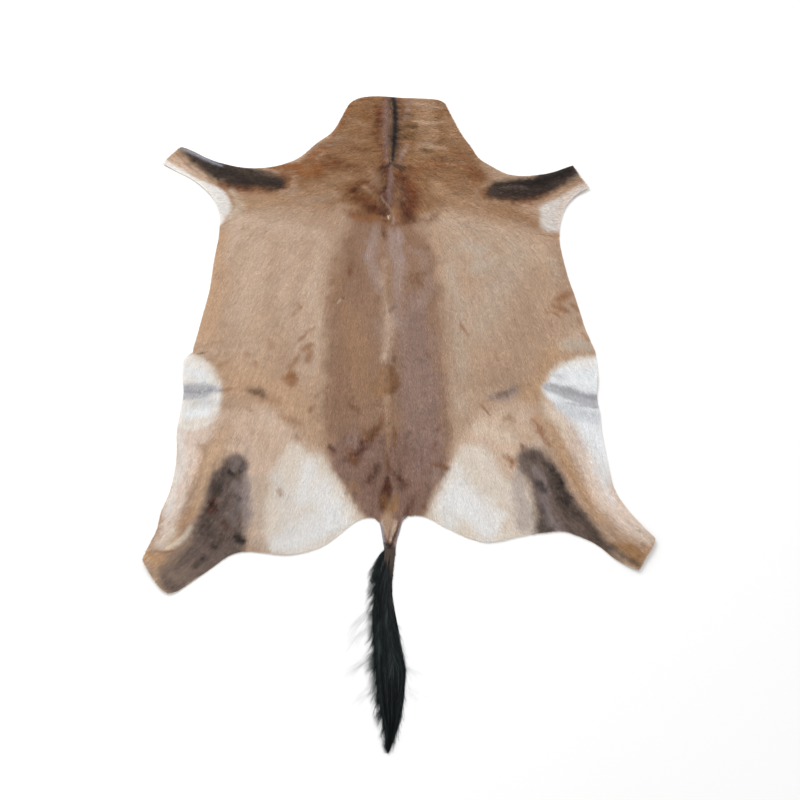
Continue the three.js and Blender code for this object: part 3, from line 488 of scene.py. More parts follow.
    # Painted highlight: a teal glint on the black hair of the right foreleg.
    Mark("right foreleg teal", "teal_glint", 6, 0.7, 2.5, [(548, 173, 0.8), (556, 172, 1.2), (564, 169, 0.8)]),
    Mark("right foreleg fleck", "violet", 4, 0.7, 1.5, [(537, 200, 0.5), (541, 199, 0.5)]),
    Mark("right armpit", "bone", 18, 0.98, 5, [(540, 208), (548, 203), (558, 199), (571, 192), (584, 186),
        (592, 188), (575, 205), (566, 234), (542, 232), (539, 218)]),
    fleck("right armpit blush", "peach", 14, 0.7, 4, [(584, 187, 1), (572, 194, 1.5), (563, 203, 2),
        (560, 218, 2), (561, 230, 1.2)]),
    Mark("right armpit line", "light_rust", 6, 0.8, 3, [(540, 235, 0.5), (550, 237, 1), (562, 237, 1)]),
    Mark("right armpit edge", "bone", 20, 0.5, 5, [(543, 212, 2), (544, 224, 4), (546, 231, 2)]),

    # The hind legs
    Mark("left outer blush", "peach", 26, 0.9, 8, [(186, 432, 9), (188, 455, 10), (182, 480, 10),
        (174, 510, 8), (164, 540, 4)]),
    Mark("left outer edge white", "white", 24, 0.7, 8, [(180, 436, 4), (182, 460, 4), (176, 485, 4),
        (168, 515, 3)]),
    fleck("left outer pink", "peach", 16, 0.6, 6, [(187, 431, 1.5), (200, 430, 1.5), (212, 430, 1)]),
    Mark("left flank foot", "peach", 26, 0.85, 8, [(196, 438, 7), (205, 437, 5), (212, 430, 3)]),
    Mark("left flank foot tan", "blush", 24, 0.75, 8, [(211, 436, 5), (223, 415, 5)]),
    Mark("left gold band", "gold_tan", 30, 0.65, 12, [(227, 430, 4), (219, 447, 5), (209, 466, 5.5),
        (202, 490, 4), (195, 510, 3)]),
    fleck("left gold low", "gold_brown", 18, 0.4, 7, [(192, 512, 3), (184, 524, 2.5), (178, 536, 1.5)]),
    Mark("left shin shade", "tip_brown", 24, 0.4, 7, [(190, 530, 4), (185, 538, 4)]),
    Mark("left shin pale", "linen", 24, 0.6, 7, [(173, 532, 4), (162, 546, 4)]),
    Mark("left shin cream", "cream", 14, 0.85, 4, [(192, 528, 2), (182, 541, 3), (168, 548, 2.5)]),
    Mark("left leg tip", "gold", 18, 0.9, 7, [(146, 556, 3), (158, 562, 5), (168, 562, 3)]),
    Mark("left leg crease", "light_rust", 6, 0.7, 3, [(156, 552, 0.5), (166, 553, 1), (174, 551, 0.6)]),
    Mark("left thigh dark", "taupe", 28, 0.97, 8, [(236, 453), (245, 457), (248, 465), (246, 485),
        (245, 510), (247, 535), (245, 556), (225, 570), (198, 590), (172, 602), (157, 578), (174, 563),
        (186, 547), (197, 522), (205, 504), (208, 482), (219, 468), (229, 458)]),
    Mark("left thigh top lilac", "lilac", 20, 0.5, 8, [(236, 462, 4), (233, 470, 3)]),
    Mark("left thigh brown", "umber", 22, 0.5, 9, [(228, 468, 3), (217, 488, 4), (213, 508, 5),
        (206, 528, 5), (226, 538, 5), (212, 548, 3)]),
    Mark("left thigh low", "tip_brown", 24, 0.65, 8, [(166, 570, 6), (180, 576, 7), (194, 568, 5)]),
    Mark("left thigh foot", "tip_brown", 20, 0.7, 8, [(172, 560, 4), (186, 546, 4)]),
    Mark("left thigh lilac", "lilac", 16, 0.55, 8, [(236, 484, 3), (242, 505, 4), (232, 516, 3),
        (236, 525, 2.5)]),
    fleck("left thigh rim", "ash_pink", 18, 0.7, 7, [(250, 478, 1.8), (249, 500, 3), (250, 520, 2)]),
    Mark("left rump rim", "ash", 30, 0.5, 8, [(259, 480, 4), (259, 502, 5), (260, 525, 4)]),
    fleck("left thigh fringe", "lilac", 18, 0.8, 8, [(246, 470, 1.5), (247, 490, 2.5), (247, 515, 3),
        (246, 530, 1.5)]),
    fleck("left dark spot a", "black", 10, 0.5, 5, [(247, 463, 1), (245, 469, 1.8), (241, 474, 1)]),
    fleck("left dark spot b", "black", 8, 0.85, 5, [(230, 473, 1.6), (235, 477, 1.4)]),
    fleck("left dark spot c", "black", 10, 0.5, 5, [(219, 482, 1.4), (217, 491, 1.8)]),
    fleck("left dark spot d", "deep_rust", 12, 0.75, 6, [(214, 501, 2), (212, 510, 3)]),
    fleck("left dark spot e", "black", 9, 0.9, 5, [(238, 538, 2.4), (243, 542, 1.8)]),
    fleck("left dark spot f", "black", 7, 0.6, 4, [(213, 546, 1), (216, 549, 0.8)]),
    fleck("left dark spot g", "black", 8, 0.5, 5, [(236, 496, 1), (240, 500, 1.2)]),
    fleck("left dark spot h", "deep_rust", 10, 0.55, 5, [(224, 524, 1.6), (229, 530, 1.5)]),
    fleck("left dark spot i", "black", 8, 0.5, 4, [(196, 566, 1.5), (204, 558, 1.5)]),
    Mark("left hind low edge", "cream", 6, 0.85, 2, [(176, 597, 0.8), (188, 587, 1.2), (200, 578, 0.8)]),
    Mark("right outer white", "cool_white", 34, 0.9, 8, [(578, 425, 6), (592, 440, 8), (600, 462, 6),
        (606, 480, 2)]),
    Mark("right outer blush", "peach", 36, 0.9, 8, [(566, 436, 3), (580, 458, 6), (595, 482, 9),
        (609, 503, 11), (628, 521, 11), (645, 537, 8)]),
    Mark("right outer cream", "cool_white", 24, 0.5, 6, [(596, 470, 4), (604, 486, 4), (614, 506, 2)]),
    Mark("right gold band", "gold", 34, 0.5, 10, [(548, 425, 4), (558, 445, 5), (568, 466, 5),
        (580, 488, 4), (588, 506, 3.5), (600, 520, 3)]),
    Mark("right flank foot", "cream", 34, 0.75, 10, [(546, 404, 4), (555, 416, 5), (565, 430, 5)]),
    fleck("right gold deep", "gold_brown", 12, 0.5, 6, [(562, 462, 1), (576, 484, 1.5), (584, 500, 1)]),
    Mark("right leg tip", "gold_brown", 24, 0.9, 8, [(618, 546, 4), (629, 550, 7), (636, 559, 6)]),
    Mark("right leg tip corner", "gold_brown", 22, 0.5, 7, [(642, 548, 4), (646, 553, 3)]),
    Mark("right leg tip ash", "ash", 24, 0.6, 7, [(636, 532, 4), (646, 536, 4)]),
    fleck("right leg tip light", "blush", 16, 0.3, 5, [(620, 532, 1.5), (634, 538, 2.5), (644, 545, 2)]),
    fleck("right leg brown", "umber", 12, 0.65, 5, [(612, 548, 1.5), (626, 560, 1.5), (636, 566, 1.5)]),
    Mark("right rump ash", "ash_pink", 32, 0.85, 10, [(518, 474, 6), (518, 490, 7), (522, 506, 7),
        (522, 524, 8)]),
    Mark("right thigh dark", "taupe", 30, 0.97, 7, [(519, 453), (528, 448), (540, 450), (549, 459),
        (559, 471), (567, 485), (575, 499), (584, 513), (592, 526), (603, 540), (618, 557), (626, 568),
        (600, 556), (560, 545), (536, 545), (535, 525), (535, 498), (530, 484), (519, 472), (517, 461)]),
    Mark("right thigh brown", "umber", 26, 0.62, 10, [(534, 458, 3), (550, 470, 3), (557, 486, 6),
        (563, 500, 7), (574, 515, 6), (590, 532, 5), (606, 548, 3)]),
    Mark("right thigh black", "black", 22, 0.6, 9, [(552, 470, 1.5), (556, 482, 3), (562, 492, 4.5),
        (566, 502, 4)]),
    Mark("right thigh lilac", "lilac", 18, 0.75, 7, [(534, 470, 3), (542, 482, 4), (543, 498, 4),
        (546, 516, 4), (558, 532, 5)]),
    fleck("right thigh spot a", "black", 9, 0.7, 5, [(539, 484, 1.6), (543, 490, 2)]),
    fleck("right thigh spot b", "black", 9, 0.45, 5, [(541, 508, 1.6), (545, 528, 2), (552, 530, 1.5)]),
    Mark("right thigh ochre", "ochre", 24, 0.4, 8, [(508, 458, 3), (512, 465, 3)]),
    Mark("right thigh ochre top", "ochre", 26, 0.35, 8, [(531, 424, 4), (535, 431, 4)]),
    fleck("right thigh rust a", "light_rust", 8, 0.7, 4, [(508, 456, 1), (512, 462, 1.4), (511, 468, 0.8)]),
    fleck("right thigh rust b", "light_rust", 8, 0.5, 4, [(503, 456, 0.8), (506, 460, 1)]),
    fleck("right thigh rust c", "rust", 6, 0.6, 3, [(521, 445, 0.5), (523, 448, 0.7)]),

    # The flanks
    Mark("left flank white", "white", 22, 0.98, 7, [(175, 355), (200, 357), (208, 362), (214, 371),
        (218, 380), (221, 390), (221, 402), (219, 414), (213, 423), (200, 428), (170, 430)]),
    Mark("left flank cream edge", "cream", 18, 0.75, 5, [(196, 358, 1), (207, 363, 1.4), (214, 372, 1.2),
        (219, 384, 1)]),
    Mark("left flank snow", "cool_white", 18, 0.8, 5, [(186, 372, 3), (202, 375, 4), (206, 412, 4),
        (190, 414, 5)]),
    fleck("left flank low", "cream", 16, 0.5, 5, [(186, 424, 1.5), (204, 422, 2), (214, 416, 1)]),
    # Painted shade: the grey band across the left white flank patch, with its core, low line and fade, is
    # the shade in the hollow of the fold there.
    Mark("left grey band", "grey", 18, 0.9, 5, [(180, 392, 7), (195, 392, 8), (206, 391, 7.5),
        (213, 390, 4), (220, 391, 0.5)]),
    Mark("left grey core", "steel", 8, 0.6, 3, [(180, 392, 1.5), (200, 393, 1.5), (212, 391, 1)]),
    Mark("left grey low", "slate", 9, 0.35, 4, [(182, 399, 1), (200, 399, 1.2), (208, 396, 1)]),
    Mark("left grey fade", "grey", 26, 0.32, 6, [(194, 404, 4), (212, 402, 4)]),
    Mark("left grey fleck", "cool_white", 3, 0.8, 1, [(202, 391.5, 0.5), (204, 393, 0.4)]),
    Mark("left flank rusty edge", "light_rust", 8, 0.55, 4, [(221, 391, 0.5), (228, 390, 1),
        (236, 389, 0.6)]),
    Mark("right flank glow", "peach", 90, 0.8, 10, [(560, 404, 4), (580, 428, 8), (600, 456, 8)]),
    Mark("right flank white low", "cool_white", 66, 0.95, 8, [(560, 402), (620, 402), (624, 482),
        (604, 474), (588, 450), (572, 424)]),
    Mark("right flank white", "cool_white", 22, 0.98, 7, [(544, 388), (547, 379), (553, 371), (562, 364),
        (574, 360), (590, 358), (615, 356), (618, 420), (596, 424), (576, 418), (558, 408), (549, 401),
        (545, 395)]),
    fleck("right flank top", "white", 16, 0.7, 5, [(562, 367, 2.5), (578, 364, 3), (592, 364, 3)]),
    Mark("right flank cream edge", "cream", 16, 0.65, 5, [(543, 388, 0.8), (547, 378, 1.2), (556, 367, 1.5),
        (572, 360, 1.4), (592, 358, 1.2)]),
    Mark("right flank low blush", "peach", 24, 0.55, 6, [(546, 404, 1), (560, 420, 2), (574, 438, 2),
        (586, 456, 2)]),
    # Painted shade: the grey band across the right white flank patch, with its core, line, fades and veil,
    # is the shade in the hollow of the fold there.
    Mark("right grey band", "grey", 13, 0.92, 4, [(546, 387, 3.5), (556, 390, 5.5), (570, 394, 6),
        (585, 399, 6.5), (600, 402, 7)]),
    Mark("right grey core", "steel", 9, 0.45, 4, [(550, 384, 1), (562, 389, 1.5), (580, 396, 2),
        (598, 399, 2)]),
    Mark("right grey line", "steel", 4, 0.6, 1.5, [(566, 403, 0.4), (578, 406, 0.7), (596, 408, 0.9)]),
    Mark("right grey fade", "grey", 22, 0.4, 6, [(553, 376, 2), (561, 377, 3)]),
    Mark("right grey fade low", "grey", 40, 0.42, 8, [(558, 404, 4), (576, 411, 6), (598, 416, 6)]),
    Mark("right grey veil", "pale_grey", 26, 0.6, 6, [(560, 410, 3), (578, 416, 5), (598, 422, 5)]),
    Mark("left smudge", "soot", 22, 0.7, 8, [(250, 391, 2), (260, 392, 3.5), (264, 396, 2.5)]),
    fleck("left smudge core", "soot", 10, 0.6, 5, [(255, 393, 0.8), (262, 394, 1.2)]),
    Mark("left smudge halo", "neck_brown", 34, 0.4, 8, [(246, 390, 3), (262, 396, 6), (276, 402, 4)]),
    Mark("right smudge", "steel", 28, 0.75, 9, [(492, 398, 3), (503, 395, 5), (514, 390, 3.4)]),
    fleck("right smudge core", "soot", 11, 0.5, 5, [(499, 395, 1), (506, 393, 1.4)]),
    Mark("right smudge halo", "neck_brown", 20, 0.5, 8, [(486, 402, 1), (502, 394, 4), (518, 388, 2),
        (530, 386, 0.8)]),
    Mark("left flank wrinkle", "light_rust", 6, 0.5, 3, [(198, 348, 0.5), (212, 344, 0.8),
        (224, 342, 0.5)]),
    Mark("left notch light", "cream", 3, 0.9, 1, [(196, 356, 0.5), (203, 356.5, 0.5)]),
    # Painted shadow: the dark line in the tuck under the notch's small fold.
    Mark("left notch dark", "umber", 3.5, 0.85, 1, [(197, 354.6, 0.3), (204, 353.6, 0.8), (207, 353, 0.3)]),

    # Small rusty spots
    Mark("left spot a", "spot", 18, 0.95, 6, [(286, 379, 3.4), (292, 376, 6), (292, 383, 5)]),
    fleck("left spot a deep", "light_rust", 7, 0.5, 4, [(288, 378, 1), (294, 377, 1.6)]),
    Mark("left spot b", "spot", 20, 0.7, 7, [(290, 368, 4), (295, 362, 3.6), (299, 356, 2.4)]),
    fleck("left spot c", "spot", 11, 0.8, 4, [(304, 350, 1.8), (307, 348, 2), (312, 345, 1.4)]),
    fleck("left spot d", "spot", 12, 0.8, 4, [(311, 352, 1.6), (309, 357, 2.4), (308, 361, 2)]),
    fleck("left spot e", "spot", 8, 0.75, 4, [(299, 341, 0.8), (303, 338, 1.2), (308, 332, 0.9),
        (314, 329, 0.6)]),
    fleck("left spot f", "spot", 9, 0.5, 4, [(298, 304, 1.2), (300, 307, 1.2)]),
    fleck("left spot g", "spot", 8, 0.5, 4, [(293, 316, 0.8), (296, 312, 1), (301, 308, 0.6)]),
    fleck("left spot h", "spot", 10, 0.45, 5, [(269, 341, 1), (271, 347, 1.4)]),
    fleck("left spot i", "spot", 9, 0.5, 4, [(255, 363, 1), (257, 367, 1.4)]),
    fleck("left spot j", "spot", 9, 0.4, 4, [(219, 366, 1), (225, 364, 1.2), (228, 362, 0.8)]),
    fleck("left spot k", "spot", 10, 0.45, 5, [(246, 354, 1), (249, 356, 1)]),
    fleck("left spot l", "light_rust", 8, 0.5, 4, [(247, 409, 0.8), (252, 411, 1)]),
    fleck("left spot m", "neck_brown", 14, 0.5, 6, [(282, 416, 1.5), (292, 421, 2.5), (300, 424, 1.5)]),
    fleck("left spot n", "neck_brown", 8, 0.5, 4, [(296, 437, 1), (299, 439, 1)]),
    fleck("left spot o", "neck_brown", 8, 0.55, 4, [(309, 411, 1), (314, 406, 0.8)]),
    Mark("left streak p", "light_rust", 6, 0.55, 3, [(315, 398, 0.6), (321, 393, 0.8), (327, 388, 0.6)]),
    fleck("left spot q", "spot", 10, 0.55, 4, [(280, 490, 1.4), (281, 494, 1.8)]),
    fleck("left spot s", "spot", 9, 0.35, 4, [(253, 434, 1), (254, 432, 1)]),
    Mark("right spot streak", "light_rust", 7, 0.7, 4, [(460, 324, 1), (464, 330, 1), (468, 335, 0.6)]),
    fleck("right rust a", "spot", 16, 0.95, 8, [(559, 300, 2.5), (564, 296, 2.8), (569, 294, 1.5)]),
    fleck("right rust b", "spot", 16, 0.95, 8, [(554, 307, 1.6), (561, 309, 3), (567, 312, 1.6)]),
    fleck("right rust c", "spot", 9, 0.9, 4, [(547, 312, 0.8), (553, 313, 1.2), (559, 317, 1)]),
    fleck("right rust d", "spot", 7, 0.75, 4, [(570, 304, 0.8), (575, 308, 1), (580, 312, 0.6)]),
    fleck("right rust e", "spot", 9, 0.5, 4, [(570, 325, 0.6), (572, 328, 0.6)]),
    fleck("right rust f", "spot", 8, 0.5, 4, [(576, 318, 0.5), (580, 324, 0.8)]),
    fleck("right rust g", "spot", 8, 0.45, 4, [(549, 323, 0.8), (552, 326, 0.8)]),
    fleck("right rust h", "spot", 9, 0.6, 4, [(583, 334, 0.8), (588, 340, 1)]),
    fleck("right rust i", "spot", 9, 0.35, 4, [(495, 352, 1), (497, 360, 1.2)]),
    Mark("right line j", "light_rust", 4, 0.8, 2, [(480, 404, 0.4), (485, 410, 0.6), (490, 416, 0.5)]),
    fleck("right gold k", "gold_brown", 16, 0.6, 5, [(505, 419, 1), (509, 417, 2), (513, 421, 1.4)]),
    Mark("right rust l", "light_rust", 18, 0.7, 6, [(533, 420, 2), (538, 426, 3), (541, 432, 4),
        (542, 437, 2.4)]),
    fleck("right rust m", "gold", 12, 0.6, 5, [(535, 416, 1.4), (539, 420, 2)]),
    fleck("right rust n", "light_rust", 8, 0.6, 4, [(545, 442, 1), (549, 446, 1)]),
    fleck("right rust o", "gold", 9, 0.4, 4, [(526, 436, 1), (530, 438, 1)]),
    fleck("right spot p", "spot", 9, 0.5, 4, [(505, 368, 1), (507, 371, 1)]),

    # The root of the tail and the skin of the dock
    Mark("tail root", "tan", 18, 0.75, 5, [(388, 519, 5), (391, 527, 4)]),
    Mark("tail cream left", "blush", 9, 0.6, 3, [(382, 522, 1.2), (386, 530, 1.4), (389, 538, 1.2)]),
    Mark("tail cream right", "blush", 9, 0.6, 3, [(396, 522, 1.2), (394, 530, 1.4), (391, 540, 1.2)]),
    Mark("tail left grey", "slate", 9, 0.8, 2, [(380, 524, 1.5), (382, 536, 1.6), (384, 548, 1.2)]),
    Mark("tail right grey", "slate", 9, 0.75, 2, [(404, 518, 0.8), (401, 530, 1.6), (397, 545, 1.6),
        (395, 556, 1)]),
    Mark("tail line a", "rust", 4, 0.8, 1.5, [(390, 530, 0.3), (389, 536, 0.5), (388, 542, 0.4)]),
    Mark("tail line b", "deep_rust", 4, 0.85, 1.5, [(399, 523, 0.5), (396, 532, 0.8), (392, 543, 0.9)]),
    Mark("tail line c", "neck_brown", 4, 0.5, 1.5, [(384, 522, 0.4), (388, 534, 0.5)]),
    Mark("tail bar", "black", 5, 0.95, 2, [(385, 544, 1.2), (391, 545, 1.1)]),
    Mark("tail bar low", "black", 6, 0.8, 2, [(384, 548, 0.8), (383, 556, 1)]),
    Mark("dock skin", "dark_coat", 14, 0.97, 2, [(390, 552, 7), (388, 575, 7), (390, 620, 7),
        (393, 680, 7)]),
    Mark("dock grey", "taupe", 8, 0.5, 3, [(396, 547, 1), (395, 554, 1.1), (394, 562, 0.8)]),
    Mark("dock deep", "night", 20, 1, 4, [(380, 560, 1), (384, 572, 5), (387, 588, 10), (390, 640, 11),
        (393, 690, 11)]),
]
MARKS = [laid_out(mark) for mark in PHOTO_MARKS]

# How the hair lies: at each place of the right half, the way its tips point. The left half mirrors it.
LIE_OF_HAIR = [
    (60, 900, 1.0, -0.15), (140, 880, 1.0, -0.1), (60, 780, 1.0, -0.18), (170, 740, 1.0, -0.2),
    (70, 660, 0.85, -0.5), (200, 640, 0.95, -0.3), (350, 630, 1.0, 0.05), (470, 630, 0.95, 0.3),
    (550, 640, 0.9, 0.4), (640, 720, 0.9, 0.42), (70, 540, 0.5, -0.85), (250, 520, 0.8, -0.6),
    (420, 520, 0.85, -0.5), (80, 400, 0.12, -1.0), (260, 400, 0.45, -0.9), (440, 380, 0.4, -0.9),
    (80, 200, 0.08, -1.0), (300, 200, 0.3, -0.95), (470, 200, 0.3, -0.95), (80, 0, 0.05, -1.0),
    (300, 0, 0.25, -1.0), (500, 0, 0.45, -0.9), (80, -200, 0.03, -1.0), (300, -200, 0.2, -1.0),
    (460, -200, 0.25, -1.0), (560, -220, 0.15, -1.0), (180, -380, 0.2, -1.0), (340, -380, 0.35, -0.9),
    (450, -420, 0.6, -0.8), (560, -440, 0.75, -0.65), (30, -400, 0.0, -1.0),
]
LIE_REACH = 60  # how far one of these places leads the hair around it

# Creases and small ridges of the skin, each a path in millimetres: a name, a height and a half width
Crease = namedtuple("Crease", "name height width points")
CREASES = [
    Crease("nape ridge", 1.6, 22, [(8, 930), (13, 800), (10, 690), (2, 560)]),
    Crease("left nape trough", -0.9, 16, [(-30, 900), (-28, 780), (-24, 690)]),
    Crease("right nape trough", -0.9, 16, [(52, 900), (54, 780), (48, 690)]),
    Crease("withers left", 1.2, 14, [(-70, 620), (-20, 560), (8, 500)]),
    Crease("withers right", 1.0, 14, [(70, 600), (36, 540), (8, 500)]),
    Crease("spine", 0.9, 26, [(-2, 470), (-2, 200), (-2, -100), (0, -360)]),
    Crease("left foreleg rib", 2.2, 14, [(-600, 735), (-520, 690), (-440, 650), (-360, 636)]),
    Crease("left armpit fold", 2.4, 12, [(-560, 660), (-500, 610), (-470, 540), (-468, 480)]),
    Crease("left armpit pucker", 1.2, 9, [(-470, 560), (-420, 530), (-370, 520)]),
    Crease("left chest pucker", 1.0, 12, [(-478, 400), (-430, 380), (-380, 372)]),
    Crease("right foreleg rib", 2.0, 14, [(545, 660), (470, 640), (390, 618), (320, 612)]),
    Crease("right armpit fold", 2.2, 12, [(545, 610), (490, 580), (462, 530), (468, 470)]),
    Crease("right armpit pucker", 1.4, 8, [(486, 456), (450, 458), (400, 470)]),
    Crease("left flank tuck", -2.0, 9, [(-530, 84), (-490, 78), (-450, 84), (-400, 104)]),
    Crease("left flank ridge", 2.0, 12, [(-530, 104), (-480, 98), (-430, 112)]),
    Crease("left flank hollow", -2.2, 20, [(-545, -30), (-490, -28), (-440, -36), (-380, -40)]),
    Crease("left flank lip", 2.0, 14, [(-545, -62), (-490, -60), (-440, -62)]),
    Crease("right flank hollow", -2.2, 20, [(548, -66), (490, -52), (430, -32), (370, -28)]),
    Crease("right flank lip", 2.0, 14, [(550, -96), (490, -86), (430, -64)]),
    Crease("right flank pucker", 1.2, 10, [(548, 90), (510, 84), (460, 92)]),
    Crease("left thigh seam", 1.3, 18, [(-250, -60), (-340, -90), (-400, -150), (-420, -240)]),
    Crease("right thigh seam", 1.3, 18, [(240, -70), (320, -90), (380, -140), (410, -220)]),
    Crease("left hind fold", 1.8, 16, [(-420, -300), (-460, -400), (-520, -480)]),
    Crease("right hind fold", 1.8, 16, [(430, -280), (490, -370), (570, -440)]),
    Crease("left leg wrinkle", 1.2, 7, [(-590, -470), (-550, -470), (-510, -462)]),
    Crease("left rump wrinkle", 1.0, 8, [(-345, -450), (-318, -430), (-290, -424)]),
    Crease("right leg wrinkle", 1.2, 8, [(560, -400), (600, -420), (640, -450)]),
]

# The spread of the tail's hair at each place down the tail, in millimetres: the middle of the dock, and
# where the dense hair ends on the left and on the right and the thin fringe on the left.
Section = namedtuple("Section", "y dock left right fringe")
TAIL_SECTIONS = [
    Section(-464, 5.5, -9, 20, -12), Section(-497, 2, -16, 14, -34), Section(-525, 0.5, -24, 11, -50),
    Section(-550, -1, -26, 10.5, -54), Section(-587, -0.5, -29, 12, -56), Section(-628, 2, -32, 16, -57),
    Section(-686, 7, -30, 25, -57), Section(-724, 11, -27, 34, -57), Section(-756, 12, -24, 41, -56),
    Section(-785, 12, -23, 38, -52), Section(-828, 12, -17, 36, -45), Section(-862, 10, -8, 31, -37),
    Section(-891, 8, -2, 23, -29), Section(-924, 4, 1, 12, -18), Section(-946, 1, 0, 4, -7),
]
DOCK_START_Y = -464.3
DOCK_END_Y = -760
DOCK_HALF_WIDTH = 13.5
DOCK_TIP_HALF_WIDTH = 4
DOCK_HEIGHT = 8.6
DOCK_SIDES = 20
DOCK_RINGS = 60
DOCK_ROUNDING = 0.6
DOCK_TIP_FROM = 0.98  # share of the dock from which its tip closes in
DOCK_TIP_NARROW = 0.6
DOCK_RIM_GAP = 0.007  # what lets the short hair of the dock keep its length, in metres
DOCK_HAIR_DENSITY = 500000  # locks of short hair on a square metre

# Wisps of tail hair that leave the tuft: a name, where the wisp starts and ends, and its hairs
Wisp = namedtuple("Wisp", "name start end hairs")
WISPS = [
    Wisp("upper left", (-34, -620), (-96, -676), 24),
    Wisp("left", (-36, -655), (-92, -708), 18),
    Wisp("lower left", (-34, -730), (-98, -768), 28),
    Wisp("foot left", (-24, -800), (-74, -836), 14),
    Wisp("right", (32, -752), (72, -772), 20),
    Wisp("lower right", (30, -800), (84, -822), 12),
]

CAMERA_PLACE = (0.030, -1.2836, 2.6283)
CAMERA_AIM = (0.030, -0.058, 0.0)
CAMERA_LENS = 50.0
CAMERA_SENSOR = 36.0
LAMP_PLACE = (-1.4, 1.6, 3.2)
LAMP_SIZE = 2.4
FLOOR_SIZE = 30


class HideSizes(PropertyGroup):
    """Sizes of the skin and its coat."""

    leather: FloatProperty(
        name="Leather", description="Thickness of the tanned skin",
        default=0.0022, min=0.001, max=0.004, unit="LENGTH")
    edge_step: FloatProperty(
        name="Edge step", description="Length between the points of the cut edge",
        default=0.004, min=0.002, unit="LENGTH")
    skin_step: FloatProperty(
        name="Skin step", description="Spacing of the points that carry the folds",
        default=0.0095, min=0.004, unit="LENGTH")
    hair_length: FloatProperty(
        name="Hair length", description="Length of the coat's hair on the back",
        default=0.0135, min=0.004, unit="LENGTH")
    hair_width: FloatProperty(
        name="Hair width", description="Width of one lock of the coat's hair",
        default=0.001, min=0.0002, unit="LENGTH")
    hair_rise: FloatProperty(
        name="Hair rise", description="How far the hair stands off the skin as it lies",
        default=0.0016, min=0.0002, unit="LENGTH")
    hair_density: FloatProperty(
        name="Hair density", description="Locks of hair on a square metre",
        default=180000, min=1000)
    rim_overhang: FloatProperty(
        name="Rim overhang", description="How far the hair reaches past the cut edge",
        default=0.003, min=0, unit="LENGTH")


class TailSizes(PropertyGroup):
    """Sizes of the tail's hair."""

    locks: IntProperty(
        name="Locks", description="Number of locks of long hair on the tail", default=260, min=10)
    lock_hairs: IntProperty(
        name="Hairs in a lock", description="Hairs in one lock of long hair", default=14, min=2)
    fringe_tufts: IntProperty(
        name="Fringe tufts", description="Little tufts of thin hairs that fray out of the sides",
        default=760, min=1)
    fringe_hairs: IntProperty(
        name="Hairs in a fringe tuft", description="Thin hairs in one little tuft", default=5, min=1)
    hair_width: FloatProperty(
        name="Hair width", description="Width of one long hair at its root",
        default=0.0011, min=0.0001, unit="LENGTH")
    shortest: FloatProperty(
        name="Shortest", description="Length of the shortest of the long hairs",
        default=0.12, unit="LENGTH")
    longest: FloatProperty(
        name="Longest", description="Length of the longest hairs", default=0.27, unit="LENGTH")
    wave: FloatProperty(
        name="Wave", description="How far a hair wanders from its lane", default=0.0024, unit="LENGTH")


class FinishColours(PropertyGroup):
    """Colours of the surfaces that the coat doesn't cover."""

    flesh: FloatVectorProperty(
        name="Flesh side", description="The tanned suede under the hide",
        subtype="COLOR", default=srgb(214, 200, 178), min=0, max=1)
    flesh_shade: FloatVectorProperty(
        name="Flesh shade", description="Darker clouds of the flesh side",
        subtype="COLOR", default=srgb(186, 166, 140), min=0, max=1)
    tail_black: FloatVectorProperty(
        name="Tail hair", description="The long hair of the tail",
        subtype="COLOR", default=srgb(10, 12, 14), min=0, max=1)
    # tail_sheen colours the paler hairs of the tail and the painted sheen low on the tuft's left
    tail_sheen: FloatVectorProperty(
        name="Tail sheen", description="Paler hairs of the tail",
        subtype="COLOR", default=srgb(70, 84, 84), min=0, max=1)
    floor: FloatVectorProperty(
        name="Floor", description="The pale floor", subtype="COLOR", default=(0.86, 0.86, 0.86))


class StageSettings(PropertyGroup):
    """Light of the studio."""

    daylight: FloatProperty(
        name="Daylight", description="Strength of the even light from all around", default=0.88)
    lamp: FloatProperty(
        name="Lamp", description="Power of the large soft lamp", default=82.0, unit="POWER")


# Node trees

class Wire:
    """A value in a material's node tree that takes part in ordinary arithmetic."""

    def __init__(self, finish, socket):
        self.finish = finish
        self.socket = socket

    def _math(self, operation, first, second):
        return self.finish.add("ShaderNodeMath", {"operation": operation}, {0: first, 1: second})

    def __add__(self, other):
        return self._math("ADD", self, other)

    def __sub__(self, other):
        return self._math("SUBTRACT", self, other)

    def __mul__(self, other):
        return self._math("MULTIPLY", self, other)

    def __rsub__(self, other):
        return self._math("SUBTRACT", other, self)

    __radd__ = __add__
    __rmul__ = __mul__


